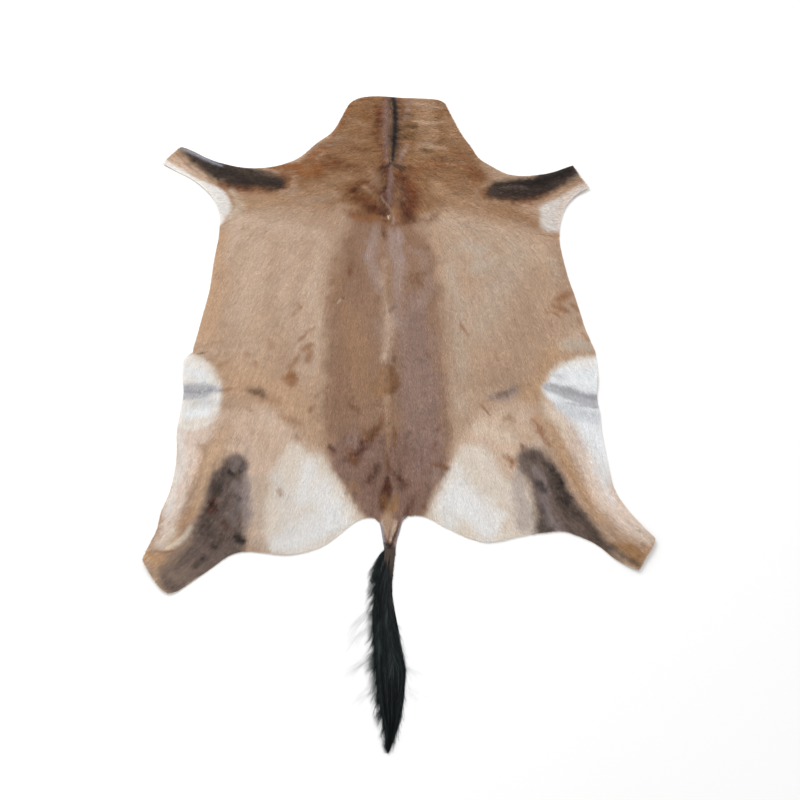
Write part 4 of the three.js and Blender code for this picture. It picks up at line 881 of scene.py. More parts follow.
class Finish:
    """A material and its node tree, around one Principled shader."""

    def __init__(self, name, **constants):
        self.material = bpy.data.materials.new(name)
        self.material.use_nodes = True
        self.tree = self.material.node_tree
        self.shader = self.tree.nodes["Principled BSDF"]
        for socket, value in constants.items():
            self.shader.inputs[socket.replace("_", " ")].default_value = value

    def feed(self, socket, value):
        """Gives a socket a constant or a link."""
        if isinstance(value, Wire):
            self.tree.links.new(value.socket, socket)
        else:
            socket.default_value = value

    def add(self, kind, settings=None, values=None, output=0):
        """Adds a node: its settings first, then the values or links of its sockets."""
        node = self.tree.nodes.new(kind)
        for name, value in (settings or {}).items():
            setattr(node, name, value)
        for socket, value in (values or {}).items():
            self.feed(node.inputs[socket], value)
        return Wire(self, node.outputs[output])

    def place(self, stretch=(1, 1, 1), turn=0.0):
        """The place on the piece, with its pattern turned and scaled along each axis."""
        here = self.add("ShaderNodeTexCoord", output="Object")
        settings = {"vector_type": "POINT"}
        values = {"Vector": here, "Rotation": (0, 0, turn), "Scale": stretch}
        return self.add("ShaderNodeMapping", settings, values)

    def noise(self, place, scale, detail=2.0, roughness=0.5):
        """Smooth noise from 0 to 1."""
        values = {"Vector": place, "Scale": scale, "Detail": detail, "Roughness": roughness}
        return self.add("ShaderNodeTexNoise", values=values)

    def attribute(self, name, output="Fac"):
        """A value or a colour that the mesh carries."""
        return self.add("ShaderNodeAttribute", {"attribute_name": name}, output=output)

    def scaled(self, colour, factor):
        """A colour made lighter or darker."""
        return self.add("ShaderNodeVectorMath", {"operation": "SCALE"}, {"Vector": colour, "Scale": factor})

    def mixed(self, first, second, factor):
        """A colour between two colours."""
        values = {0: factor, 6: first, 7: second}
        return self.add("ShaderNodeMix", {"data_type": "RGBA"}, values, output=2)

    def stepped(self, value, low, high):
        """0 below one bound, 1 above the other and smooth between them."""
        settings = {"interpolation_type": "SMOOTHSTEP"}
        values = {"Value": value, "From Min": low, "From Max": high}
        return self.add("ShaderNodeMapRange", settings, values)

    def surface(self, colour, roughness, height=None, depth=0.001):
        """Feeds the shader its colour, its roughness and the relief of a fine height in metres."""
        self.feed(self.shader.inputs["Base Color"], colour)
        self.feed(self.shader.inputs["Roughness"], roughness)
        if height is not None:
            values = {"Height": height, "Distance": depth, "Strength": 1.0}
            bump = self.add("ShaderNodeBump", values=values)
            self.feed(self.shader.inputs["Normal"], bump)
        return self.material


def coat_hair_finish():
    """Hair of the coat: its own colour, with painted shade darkening it toward the root, and glossier toward
    the tip.
    """
    finish = Finish("coat_hair", Specular_IOR_Level=0.14)
    along = finish.attribute("along")
    grain = finish.noise(finish.place(), 420.0)
    # tone darkens each lock toward its root: painted shade deep in the fur
    tone = 0.80 + 0.24 * along + 0.12 * (grain - 0.5)
    colour = finish.scaled(finish.attribute("coat", "Color"), tone)
    return finish.surface(colour, 0.66 - 0.14 * along + 0.1 * (grain - 0.5))


def coat_skin_finish():
    """The skin between the hairs: the coat's own colour darkened, as painted shade deep in the fur."""
    finish = Finish("coat_skin", Specular_IOR_Level=0.25)
    streak = finish.noise(finish.place((1, 0.12, 1)), 620.0, 3.0)
    pore = finish.noise(finish.place(), 1500.0, 1.0)
    # The coat's colour darkened: painted shade under the hair
    colour = finish.scaled(finish.attribute("coat", "Color"), 0.72 + 0.25 * streak)
    return finish.surface(colour, 0.70 + 0.15 * pore, 0.7 * streak + 0.3 * pore, 0.0004)


def flesh_finish(colours):
    """The flesh side: pale suede with clouds, fine nap and a few shallow veins."""
    finish = Finish("flesh_side", Specular_IOR_Level=0.2, Sheen_Weight=0.15)
    cloud = finish.noise(finish.place(), 9.0, 4.0, 0.6)
    nap = finish.noise(finish.place(), 900.0, 2.0)
    vein = finish.noise(finish.place((1.0, 0.45, 1.0), 0.4), 38.0, 3.0, 0.6)
    shade = finish.stepped(cloud, 0.42, 0.66)
    pale = (*colours.flesh, 1.0)
    dark = (*colours.flesh_shade, 1.0)
    colour = finish.scaled(finish.mixed(pale, dark, shade), 0.86 + 0.2 * nap)
    return finish.surface(colour, 0.82 + 0.12 * nap, 0.35 * nap + 0.65 * vein, 0.0008)


def tail_hair_finish(colours):
    """Long hair of the tail: black, with paler hairs, a painted sheen and a low gloss."""
    finish = Finish("tail_hair", Specular_IOR_Level=0.15)
    shade = finish.attribute("shade")
    streak = finish.noise(finish.place((1, 0.05, 1)), 500.0)
    black = (*colours.tail_black, 1.0)
    sheen = (*colours.tail_sheen, 1.0)
    colour = finish.mixed(black, sheen, shade * (0.5 + 0.9 * streak))
    return finish.surface(colour, 0.42 + 0.16 * streak)


def floor_finish(colours):
    """A plain pale floor with the faintest unevenness."""
    finish = Finish("pale_floor", Specular_IOR_Level=0.1)
    cloud = finish.noise(finish.place(), 1.4, 3.0)
    colour = finish.scaled(tuple(colours.floor), 0.99 + 0.02 * cloud)
    return finish.surface(colour, 0.9 + 0.05 * cloud)


# Arithmetic on places

def smooth(share):
    """0 at 0 and 1 at 1 with no kink at either end."""
    share = np.clip(share, 0, 1)
    return share * share * (3 - 2 * share)


class Grain:
    """Smooth random numbers from -1 to 1 over the plane, the same in each run."""

    def __init__(self, seed):
        self.cells = np.random.default_rng(seed).uniform(-1, 1, (GRAIN_CELLS, GRAIN_CELLS))

    def __call__(self, x, y):
        left = np.floor(x).astype(int)
        low = np.floor(y).astype(int)
        across = smooth(x - left)
        up = smooth(y - low)

        def corner(dx, dy):
            return self.cells[(left + dx) % GRAIN_CELLS, (low + dy) % GRAIN_CELLS]

        bottom = corner(0, 0) + across * (corner(1, 0) - corner(0, 0))
        top = corner(0, 1) + across * (corner(1, 1) - corner(0, 1))
        return bottom + up * (top - bottom)


def gap_to_line(places, a, b):
    """How far places are from a straight stretch, and how far along it their nearest point is."""
    along = np.subtract(b, a)
    share = np.clip((places - a) @ along / max(along @ along, SAME_POINT), 0, 1)
    return np.hypot(*(places - a - share[:, None] * along).T), share


def gap_to_band(places, path):
    """Distance from a band's edge, negative inside it."""
    nearest = np.full(len(places), np.inf)
    for (*a, wide_a), (*b, wide_b) in zip(path, path[1:]):
        gap, share = gap_to_line(places, np.array(a), np.array(b))
        nearest = np.minimum(nearest, gap - wide_a - share * (wide_b - wide_a))
    return nearest


def inside(places, loop):
    """Which places a closed loop holds."""
    held = np.zeros(len(places), bool)
    x, y = places.T
    for (ax, ay), (bx, by) in zip(loop, np.roll(loop, -1, axis=0)):
        if ay != by:
            crosses = (ay > y) != (by > y)
            held ^= crosses & (x < ax + (y - ay) / (by - ay) * (bx - ax))
    return held


def gap_to_loop(places, loop):
    """Distance from a closed loop, on either side of it."""
    nearest = np.full(len(places), np.inf)
    for a, b in zip(loop, np.roll(loop, -1, axis=0)):
        nearest = np.minimum(nearest, gap_to_line(places, a, b)[0])
    return nearest


def rounded(corners):
    """A closed outline with its corners cut round."""
    loop = np.array(corners, float)
    for _ in range(ROUNDED_CUTS):
        after = np.roll(loop, -1, axis=0)
        loop = np.stack([0.75 * loop + 0.25 * after, 0.25 * loop + 0.75 * after], 1).reshape(-1, 2)
    return loop


def gap_to_patch(places, corners):
    """Distance from a patch's edge, negative inside it."""
    loop = rounded(corners)
    gap = gap_to_loop(places, loop)
    return np.where(inside(places, loop), -gap, gap)


def lie_of_hair(places):
    """The way the hair's tips point at each place, as unit vectors."""
    way = np.zeros_like(places)
    for x, y, right, up in LIE_OF_HAIR:
        for side in (-1, 1):
            near = np.hypot(places[:, 0] - side * x, places[:, 1] - y)
            weight = 1 / (near * near + LIE_REACH * LIE_REACH) ** 2
            way += weight[:, None] * (side * right, up)
    return way / np.hypot(*way.T)[:, None]


def coat_colours(places):
    """Colour of the coat at places in millimetres, as rows of red, green and blue."""
    edge_grain = Grain(SEED)
    fine_grain = Grain(SEED + 1)
    colours = np.tile(COAT_COLOURS["tan"], (len(places), 1))
    x, y = places.T
    wander = 0.6 * edge_grain(x / 34, y / 34) + 0.4 * fine_grain(x / 10, y / 10)
    for mark in MARKS:
        points = np.array(mark.points, float)
        widest = points[:, 2].max() if points.shape[1] == 3 else 0
        reach = widest + mark.soft + mark.ragged
        low = points[:, :2].min(0) - reach
        high = points[:, :2].max(0) + reach
        near = np.flatnonzero(((places > low) & (places < high)).all(1))
        gap = (gap_to_band if points.shape[1] == 3 else gap_to_patch)(places[near], points)
        gap += mark.ragged * wander[near]
        cover = mark.strength * smooth(0.5 - gap / mark.soft)
        colours[near] += cover[:, None] * (np.array(COAT_COLOURS[mark.colour]) - colours[near])
    return colours


def coat_tone(places, ways):
    """How much lighter or darker the coat is at each place: clouds, and streaks along the hair."""
    cloud_grain = Grain(SEED + 2)
    streak_grain = Grain(SEED + 3)
    x, y = places.T
    neck = smooth((y - 500) / 140) * smooth((330 - np.abs(x)) / 120)
    low_back = smooth((60 - y) / 160) * smooth((170 - np.abs(x)) / 60)
    thigh = smooth((-150 - y) / 60) * smooth((np.abs(x) - 330) / 40)
    busy = np.maximum(np.maximum(neck, low_back), thigh)
    pale = smooth((-150 - y) / 80) * smooth((np.abs(x) - 150) / 40) * (1 - thigh)
    cloud = 0.03 * cloud_grain(x / 60, y / 60) + 0.03 * cloud_grain(x / 17, y / 17)
    steps = (-24, -12, 0, 12, 24)
    streak = sum(streak_grain(*((places + step * ways) / 6).T) for step in steps) / len(steps)
    broad = sum(streak_grain(*((places + 2 * step * ways) / 15 + 40).T) for step in steps) / len(steps)
    across = cloud_grain(x / 34 + 9, y / 8) + 0.7 * cloud_grain(x / 18, y / 4.5)
    speck = cloud_grain(x / 8, y / 8) + 0.7 * streak_grain(x / 4 + 7, y / 4)
    return 1 + cloud + (0.2 + 0.12 * busy - 0.08 * pale) * (streak + 0.5 * broad) + (
        0.025 + 0.08 * neck) * across + (0.035 + 0.06 * busy - 0.02 * pale) * speck


# Meshes from arrays

def new_piece(name, points, faces, *materials):
    """A mesh object from rows of points in metres and rows of triangle corners."""
    mesh = bpy.data.meshes.new(name)
    mesh.vertices.add(len(points))
    mesh.vertices.foreach_set("co", np.ascontiguousarray(points, np.float32).ravel())
    mesh.loops.add(3 * len(faces))
    mesh.loops.foreach_set("vertex_index", np.ascontiguousarray(faces, np.int32).ravel())
    mesh.polygons.add(len(faces))
    mesh.polygons.foreach_set("loop_start", np.arange(0, 3 * len(faces), 3, dtype=np.int32))
    mesh.update(calc_edges=True)
    mesh.validate()
    mesh.shade_smooth()
    for material in materials:
        mesh.materials.append(material)
    piece = bpy.data.objects.new(name, mesh)
    bpy.context.scene.collection.objects.link(piece)
    return piece


def carry(piece, name, values):
    """Stores a number or a colour for each point of a piece."""
    values = np.asarray(values, np.float32)
    if values.ndim == 1:
        piece.data.attributes.new(name, "FLOAT", "POINT").data.foreach_set("value", values)
        return
    rows = np.ones((len(values), 4), np.float32)
    rows[:, :3] = values
    piece.data.color_attributes.new(name, "FLOAT_COLOR", "POINT").data.foreach_set("color", rows.ravel())


def point_array(piece):
    """The points of a piece as rows, in metres."""
    found = np.empty(3 * len(piece.data.vertices), np.float32)
    piece.data.vertices.foreach_get("co", found)
    return found.reshape(-1, 3).astype(float)


def select_only(piece):
    """Makes one piece the selected and active one."""
    bpy.ops.object.select_all(action="DESELECT")
    piece.select_set(True)
    bpy.context.view_layer.objects.active = piece


def finish_with(piece, kind, **settings):
    """Adds a modifier to a piece and applies it."""
    select_only(piece)
    modifier = piece.modifiers.new(kind.title(), kind)
    for name, value in settings.items():
        setattr(modifier, name, value)
    bpy.ops.object.modifier_apply(modifier=modifier.name)


def place_piece(piece, node):
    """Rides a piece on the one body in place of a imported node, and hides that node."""
    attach(piece, "root")
    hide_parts(node)


# The skin

def packed_body(node):
    """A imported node's mesh with its loose triangles joined."""
    body = bmesh.new()
    body.from_mesh(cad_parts[node].data)
    bmesh.ops.remove_doubles(body, verts=body.verts, dist=SAME_POINT)
    body.normal_update()
    return body


def lower_rim(body):
    """The loop where the upright cut edge meets the underside, in order, as rows of x and y."""
    beside = {}
    for edge in body.edges:
        facing = sorted(face.normal.z for face in edge.link_faces)
        if len(facing) == 2 and facing[0] < -0.5 < facing[1] < 0.5:
            a, b = edge.verts
            beside.setdefault(a, []).append(b)
            beside.setdefault(b, []).append(a)
    start = next(iter(beside))
    loop = [start]
    before, here = start, beside[start][0]
    while here != start:
        loop.append(here)
        before, here = here, next(v for v in beside[here] if v != before)
    return np.array([vertex.co.xy for vertex in loop])


def turns_of(loop):
    """How sharply a closed loop turns at each of its points."""
    before = loop - np.roll(loop, 1, axis=0)
    after = np.roll(loop, -1, axis=0) - loop
    cross = before[:, 0] * after[:, 1] - before[:, 1] * after[:, 0]
    return np.abs(np.arctan2(cross, (before * after).sum(1)))


def cut_edge(body, step):
    """The cut edge of the skin: even steps, smooth between its corners and slightly uneven."""
    loop = lower_rim(body)
    loop = loop[turns_of(loop) > STRAIGHT_TURN]
    corner = turns_of(loop) > SHARP_TURN
    points, fixed = [], []
    for here, there, sharp in zip(loop, np.roll(loop, -1, axis=0), corner):
        parts = max(1, round(np.hypot(*(there - here)) / step))
        points += [here + (there - here) * i / parts for i in range(parts)]
        fixed += [sharp] + [False] * (parts - 1)
    points, fixed = np.array(points), np.array(fixed)
    for _ in range(EDGE_ROUNDS):
        middle = (np.roll(points, 1, axis=0) + 2 * points + np.roll(points, -1, axis=0)) / 4
        points = np.where(fixed[:, None], points, middle)
    outward = np.roll(points, -1, axis=0) - np.roll(points, 1, axis=0)
    outward = np.stack([outward[:, 1], -outward[:, 0]], 1) / np.hypot(*outward.T)[:, None]
    grain = Grain(SEED + 4)
    wander = np.arange(len(points)) * step
    knife = 0.0007 * grain(wander / 0.045, 0 * wander) + 0.0004 * grain(wander / 0.011, 0 * wander + 7.5)
    return points + np.where(fixed, 0, knife)[:, None] * outward


def inner_points(edge, step):
    """Scattered points inside the cut edge, about one step apart."""
    rng = np.random.default_rng(SEED + 5)
    low, high = edge.min(0), edge.max(0)
    rows = []
    for i, y in enumerate(np.arange(low[1], high[1], step * math.sqrt(0.75))):
        x = np.arange(low[0] + (i % 2) * step / 2, high[0], step)
        rows.append(np.stack([x, np.full_like(x, y)], 1))
    points = np.concatenate(rows)
    points += rng.uniform(-0.2, 0.2, points.shape) * step
    points = points[inside(points, edge)]
    return points[gap_to_loop(points, edge) > 0.6 * step]


def neighbour_means(values, faces, rounds):
    """Values on the corners of triangles, each evened out with its neighbours."""
    pairs = np.concatenate([faces[:, [0, 1]], faces[:, [1, 2]], faces[:, [2, 0]]])
    pairs = np.concatenate([pairs, pairs[:, ::-1]])
    count = np.bincount(pairs[:, 0], minlength=len(values))
    for _ in range(rounds):
        total = np.bincount(pairs[:, 0], weights=values[pairs[:, 1]], minlength=len(values))
        values = 0.5 * values + 0.5 * total / count
    return values


def underside_heights(body, places):
    """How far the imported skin's underside is off the floor at each place."""
    tree = BVHTree.FromBMesh(body)
    heights = []
    for x, y in places:
        hit = tree.ray_cast(Vector((x, y, -1)), Vector((0, 0, 1)))[0]
        if hit is None:
            hit = tree.find_nearest(Vector((x, y, 0)))[0]
        heights.append(hit.z)
    return np.array(heights)


def crease_heights(places):
    """What the creases add to the skin's height at places in millimetres, in millimetres."""
    height = np.zeros(len(places))
    for crease in CREASES:
        path = [(*point, 0) for point in crease.points]
        gap = gap_to_band(places, path)
        height += crease.height * np.exp(-((gap / crease.width) ** 2))
    return height


class HIDE_OT_skin(Operator):
    """Makes the tanned skin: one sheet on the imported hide's outline and folds, with its creases"""

    bl_idname = "hide_rug.skin"
    bl_label = "Make the skin"

    def execute(self, context):
        sizes = context.scene.hide_sizes
        body = packed_body("hide")
        edge = cut_edge(body, sizes.edge_step)
        places = np.concatenate([edge, inner_points(edge, sizes.skin_step)])
        rim = [(i, (i + 1) % len(edge)) for i in range(len(edge))]
        filled = delaunay_2d_cdt([Vector(p) for p in places], rim, [], 1, SAME_POINT)
        places = np.array([tuple(p) for p in filled[0]])
        faces = np.array(filled[2])
        a, b, c = (places[faces[:, i]] for i in range(3))
        area = ((b - a)[:, 0] * (c - a)[:, 1] - (b - a)[:, 1] * (c - a)[:, 0]) / 2
        faces[area < 0] = faces[area < 0][:, ::-1]

        height = neighbour_means(underside_heights(body, places), faces, HEIGHT_ROUNDS)
        body.free()
        grain = Grain(SEED + 6)
        x, y = places.T
        settle = 0.0005 + 0.0005 * grain(x / 0.09, y / 0.09) + 0.0002 * grain(x / 0.03, y / 0.03)
        height = np.maximum(0, height + settle + MM * crease_heights(places / MM))
        height = neighbour_means(height, faces, 2)
        points = np.column_stack([places, height + sizes.leather])
        finishes = (coat_skin_finish(), flesh_finish(context.scene.hide_colours))
        skin = new_piece("hide_skin", points, faces, *finishes)
        finish_with(
            skin, "SOLIDIFY", thickness=sizes.leather, offset=-1, use_rim=True,
            material_offset=1, material_offset_rim=1)
        finish_with(
            skin, "BEVEL", width=0.0005, segments=2, limit_method="ANGLE",
            angle_limit=math.radians(50))
        points = point_array(skin)
        if points[:, 2].min() < 0:
            raise RuntimeError("the skin reaches below the floor")
        millimetres = points[:, :2] / MM
        carry(skin, "coat", coat_colours(millimetres))
        carry(skin, "rim_gap", gap_to_loop(points[:, :2], edge))
        place_piece(skin, "hide")
        skin["flat_area"] = float(np.abs(area).sum())
        return {"FINISHED"}


# The coat

def scattered_roots(piece, density, rng):
    """Random places on the hair side of a piece: points, slopes and distances from the cut edge."""
    mesh = piece.data
    mesh.calc_loop_triangles()
    corners = np.empty(3 * len(mesh.loop_triangles), np.int32)
    mesh.loop_triangles.foreach_get("vertices", corners)
    finish = np.empty(len(mesh.loop_triangles), np.int32)
    mesh.loop_triangles.foreach_get("material_index", finish)
    corners = corners.reshape(-1, 3)[finish == 0]
    points = point_array(piece)
    a, b, c = (points[corners[:, i]] for i in range(3))
    normal = np.cross(b - a, c - a)
    up = normal[:, 2] > 0.2 * np.linalg.norm(normal, axis=1)
    corners, a, b, c, normal = (rows[up] for rows in (corners, a, b, c, normal))
    wanted = np.linalg.norm(normal, axis=1) / 2 * density
    counts = np.floor(wanted + rng.random(len(wanted))).astype(int)
    which = np.repeat(np.arange(len(corners)), counts)
    first = np.sqrt(rng.random(len(which)))
    second = rng.random(len(which))
    shares = np.stack([1 - first, first * (1 - second), first * second], 1)[:, :, None]
    roots = shares[:, 0] * a[which] + shares[:, 1] * b[which] + shares[:, 2] * c[which]
    slopes = -normal[which, :2] / normal[which, 2:]
    rim_gap = np.empty(len(points), np.float32)
    mesh.attributes["rim_gap"].data.foreach_get("value", rim_gap)
    gaps = (shares[:, :, 0] * rim_gap[corners[which]]).sum(1)
    return roots, slopes, gaps


def hair_blades(name, roots, slopes, ways, lengths, widths, rises, colours, rng):
    """Short flat locks of hair that lie along the skin, three triangles each. colours holds two rows for
    each lock, for its lower part and its tip."""
    count = len(roots)
    left = np.stack([-ways[:, 1], ways[:, 0]], 1)
    bend = rng.normal(0, 0.09, count)[:, None] * lengths[:, None] * left
    roll = rng.normal(0, 0.35, count)

    def ring(share, side, rise):
        """One point of each lock."""
        move = ways * (share * lengths)[:, None] + bend * share * share
        move += left * (side * widths)[:, None]
        height = (slopes * move).sum(1) + rise + side * widths * roll
        return np.column_stack([roots[:, :2] + move, roots[:, 2] + height])

    sunk = np.full(count, -0.0002)
    tips = 0.75 * rises * rng.uniform(0.5, 1.3, count)
    corners = [
        ring(0.0, 0.42, sunk), ring(0.0, -0.42, sunk), ring(0.5, -0.5, rises), ring(0.5, 0.5, rises),
        ring(1.0, 0.0, tips),
    ]
    points = np.stack(corners, 1).reshape(-1, 3)
    points[:, 2] = np.maximum(points[:, 2], 0.0003)
    first = 5 * np.arange(count)[:, None]
    faces = np.stack([first + (0, 1, 2), first + (0, 2, 3), first + (3, 2, 4)], 1).reshape(-1, 3)
    piece = new_piece(name, points, faces)
    carry(piece, "coat", colours[:, (0, 0, 0, 0, 1)].reshape(-1, 3))
    carry(piece, "along", np.tile((0.0, 0.0, 0.6, 0.6, 1.0), count))
    spread = piece.data.uv_layers.new(name="OFBake")
    low, high = points[:, :2].min(0), points[:, :2].max(0)
    shares = ((points[:, :2] - low) / (high - low))[faces.ravel()]
    spread.data.foreach_set("uv", np.ascontiguousarray(shares, np.float32).ravel())
    return piece


def coat_on(piece, sizes, density, rng):
    """Roots, ways, sizes and colours of the hair on a piece."""
    roots, slopes, gaps = scattered_roots(piece, density, rng)
    count = len(roots)
    places = roots[:, :2] / MM
    ways = lie_of_hair(places)
    tone = coat_tone(places, ways)
    turn = rng.normal(0, math.radians(9), count)
    ways = np.stack([
        ways[:, 0] * np.cos(turn) - ways[:, 1] * np.sin(turn),
        ways[:, 0] * np.sin(turn) + ways[:, 1] * np.cos(turn)], 1)
    lengths = sizes.hair_length * rng.uniform(0.75, 1.2, count)
    lengths = np.minimum(lengths, 1.1 * gaps + sizes.rim_overhang * rng.uniform(0.3, 1.3, count))
    widths = sizes.hair_width * rng.uniform(0.7, 1.25, count)
    rises = sizes.hair_rise * rng.uniform(0.45, 1.5, count) * smooth(0.3 + gaps / 0.02)
    near = coat_colours(places + 0.35 * (lengths / MM)[:, None] * ways)
    far = coat_colours(places + 0.85 * (lengths / MM)[:, None] * ways)
    darkness = 1 - smooth(near.mean(1) / 0.2)
    lightness = smooth((near.mean(1) - 0.45) / 0.3)
    own = 1 + rng.normal(0, 1, count) * (0.08 + 0.16 * darkness - 0.04 * lightness)
    tone = (1 + (tone - 1) * (1 + 2.5 * darkness - 0.4 * lightness)) * np.clip(own, 0.5, 1.9)
    colours = np.clip(np.stack([near, far], 1) * tone[:, None, None], 0.004, 0.95)
    return dict(
        roots=roots, slopes=slopes, ways=ways, lengths=lengths, widths=widths, rises=rises,
        colours=colours)


class HIDE_OT_coat(Operator):
    """Covers the skin with its short lying hair, in four parts from the neck to the rump"""

    bl_idname = "hide_rug.coat"
    bl_label = "Make the coat"

    def execute(self, context):
        sizes = context.scene.hide_sizes
        rng = np.random.default_rng(SEED + 7)
        skin = bpy.data.objects.get("hide_skin")
        if skin is None:
            raise RuntimeError("the coat needs the skin")
        hair = coat_on(skin, sizes, sizes.hair_density, rng)
        material = coat_hair_finish()
        order = np.argsort(-hair["roots"][:, 1])
        names = ("coat_neck", "coat_chest", "coat_loin", "coat_rump")
        for name, part in zip(names, np.array_split(order, len(names))):
            rows = {key: values[part] for key, values in hair.items()}
            piece = hair_blades(name, rng=rng, **rows)
            piece.data.materials.append(material)
            place_piece(piece, "hide")
        return {"FINISHED"}


# The tail

def at_tail(y, column):
    """A value of the tail's table at places down the tail, in millimetres."""
    down = [-row.y for row in TAIL_SECTIONS]
    return np.interp(-np.asarray(y, float), down, [getattr(row, column) for row in TAIL_SECTIONS])


def dock_half_width(y):
    """Half the width of the dock at a place down the tail, in millimetres."""
    return np.interp(-np.asarray(y, float), [-DOCK_START_Y, -DOCK_END_Y],
                     [DOCK_HALF_WIDTH, DOCK_TIP_HALF_WIDTH])


def dock_surface():
    """The dock as rings of points, flat below and round on top, closed at both ends."""
    rings = []
    for share in np.linspace(0, 1, DOCK_RINGS):
        y = DOCK_START_Y + share * (DOCK_END_Y - DOCK_START_Y)
        narrow = 1 if share < DOCK_TIP_FROM else DOCK_TIP_NARROW
        half = dock_half_width(y) * narrow
        for angle in np.linspace(0, math.pi, DOCK_SIDES):
            rise = DOCK_HEIGHT * narrow * math.sin(angle) ** DOCK_ROUNDING
            rings.append((at_tail(y, "dock") + half * math.cos(angle), y, rise))
    faces = []
    for ring in range(DOCK_RINGS - 1):
        for side in range(DOCK_SIDES):
            a = ring * DOCK_SIDES + side
            b = ring * DOCK_SIDES + (side + 1) % DOCK_SIDES
            faces += [(a, b + DOCK_SIDES, b), (a, a + DOCK_SIDES, b + DOCK_SIDES)]
    last = (DOCK_RINGS - 1) * DOCK_SIDES
    for side in range(1, DOCK_SIDES - 1):
        faces += [(0, side, side + 1), (last, last + side + 1, last + side)]
    return MM * np.array(rings), np.array(faces)


def hair_tubes(name, centres, widths, shades, material):
    """Long hairs as closed three-sided tubes. centres holds one row of points for each hair."""
    count, rings, _ = centres.shape
    angles = np.radians([90, 210, 330])
    around = np.stack([np.cos(angles), 0 * angles, np.sin(angles)], 1)
    points = centres[:, :, None, :] + widths[:, :, None, None] / 2 * around
    points[..., 2] = np.maximum(points[..., 2], 0.0002)
    first = np.arange(count)[:, None, None] * 3 * rings
    walls = []
    for ring in range(rings - 1):
        for side in range(3):
            a = 3 * ring + side
            b = 3 * ring + (side + 1) % 3
            walls += [(a, b, b + 3), (a, b + 3, a + 3)]
    last = 3 * (rings - 1)
    walls += [(0, 2, 1), (last, last + 1, last + 2)]
    faces = (first + np.array(walls)).reshape(-1, 3)
    piece = new_piece(name, points.reshape(-1, 3), faces, material)
    carry(piece, "shade", np.repeat(shades, 3 * rings))
    return piece


def tail_lane(y, lane):
    """Where a lane of the tuft runs at places down the tail: -1 is its left side and 1 its right side."""
    left = at_tail(y, "left")
    return left + (lane + 1) / 2 * (at_tail(y, "right") - left)


def tuft_paths(sizes, rng):
    """Centre lines of the long hairs, from their roots on the dock to their tips, and how far each is paled
    toward the sheen colour: at random, and by a painted sheen on the locks low on the left. The hairs of one
    lock lie close together and share most of it."""
    locks = sizes.locks
    count = locks * sizes.lock_hairs
    lane = rng.uniform(-1, 1, locks)
    first_root = np.where(lane < 0.2, -468, -500)
    root_y = first_root + rng.random(locks) ** 0.62 * (-750 - first_root)
    length = rng.uniform(sizes.shortest, sizes.longest, locks) / MM
    lying = rng.uniform(0.3, 1.0, locks) * (1.0 + 6.5 * (1 - lane * lane))
    phase = rng.uniform(0, 2 * math.pi, locks)
    bend = rng.normal(0, 0.012, locks)

    def each(values, spread=0.0):
        """A lock's value for each of its hairs, with a spread around it."""
        return np.repeat(values, sizes.lock_hairs) + rng.normal(0, 1, count) * spread

    lane_of_lock = lane
    root_of_lock = root_y
    root_y = np.clip(each(root_y, 7), -754, -466)
    length = each(length) * rng.uniform(0.8, 1.08, count)
    tip_y = np.maximum(root_y - length, -946 + rng.exponential(11, count))
    lane = np.clip(each(lane, 0.055), -1.04, 1.04)
    lying = np.clip(each(lying, 0.5), 0.4, 8)
    phase = each(phase, 0.35)
    bend = each(bend, 0.005)
    start = 0.95 * lane * dock_half_width(root_y) / 1.04
    rise = DOCK_HEIGHT * np.sqrt(1 - (start / dock_half_width(root_y)) ** 2)
    rows = []
    for share in (0, 0.1, 0.24, 0.45, 0.72, 1):
        y = root_y + share * (tip_y - root_y)
        down = root_y - y
        spread = smooth(down / 50)
        wave = sizes.wave / MM * np.sin(phase + down / 22) * smooth(down / 40)
        stray = (wave + bend * down) * smooth((950 + y) / 90)
        x = (1 - spread) * (at_tail(y, "dock") + start) + spread * tail_lane(y, lane) + stray
        z = (1 - smooth(down / 70)) * rise + smooth(down / 70) * lying
        rows.append(np.stack([x, y, z], 1))
    # A painted sheen on the locks low on the left of the tuft, added to their paleness
    sheen = smooth(-lane_of_lock - 0.1) * smooth((-root_of_lock - 560) / 60)
    paleness_and_sheen = rng.normal(0.03, 0.22, locks) + 0.5 * sheen
    return MM * np.stack(rows, 1), each(paleness_and_sheen, 0.2)


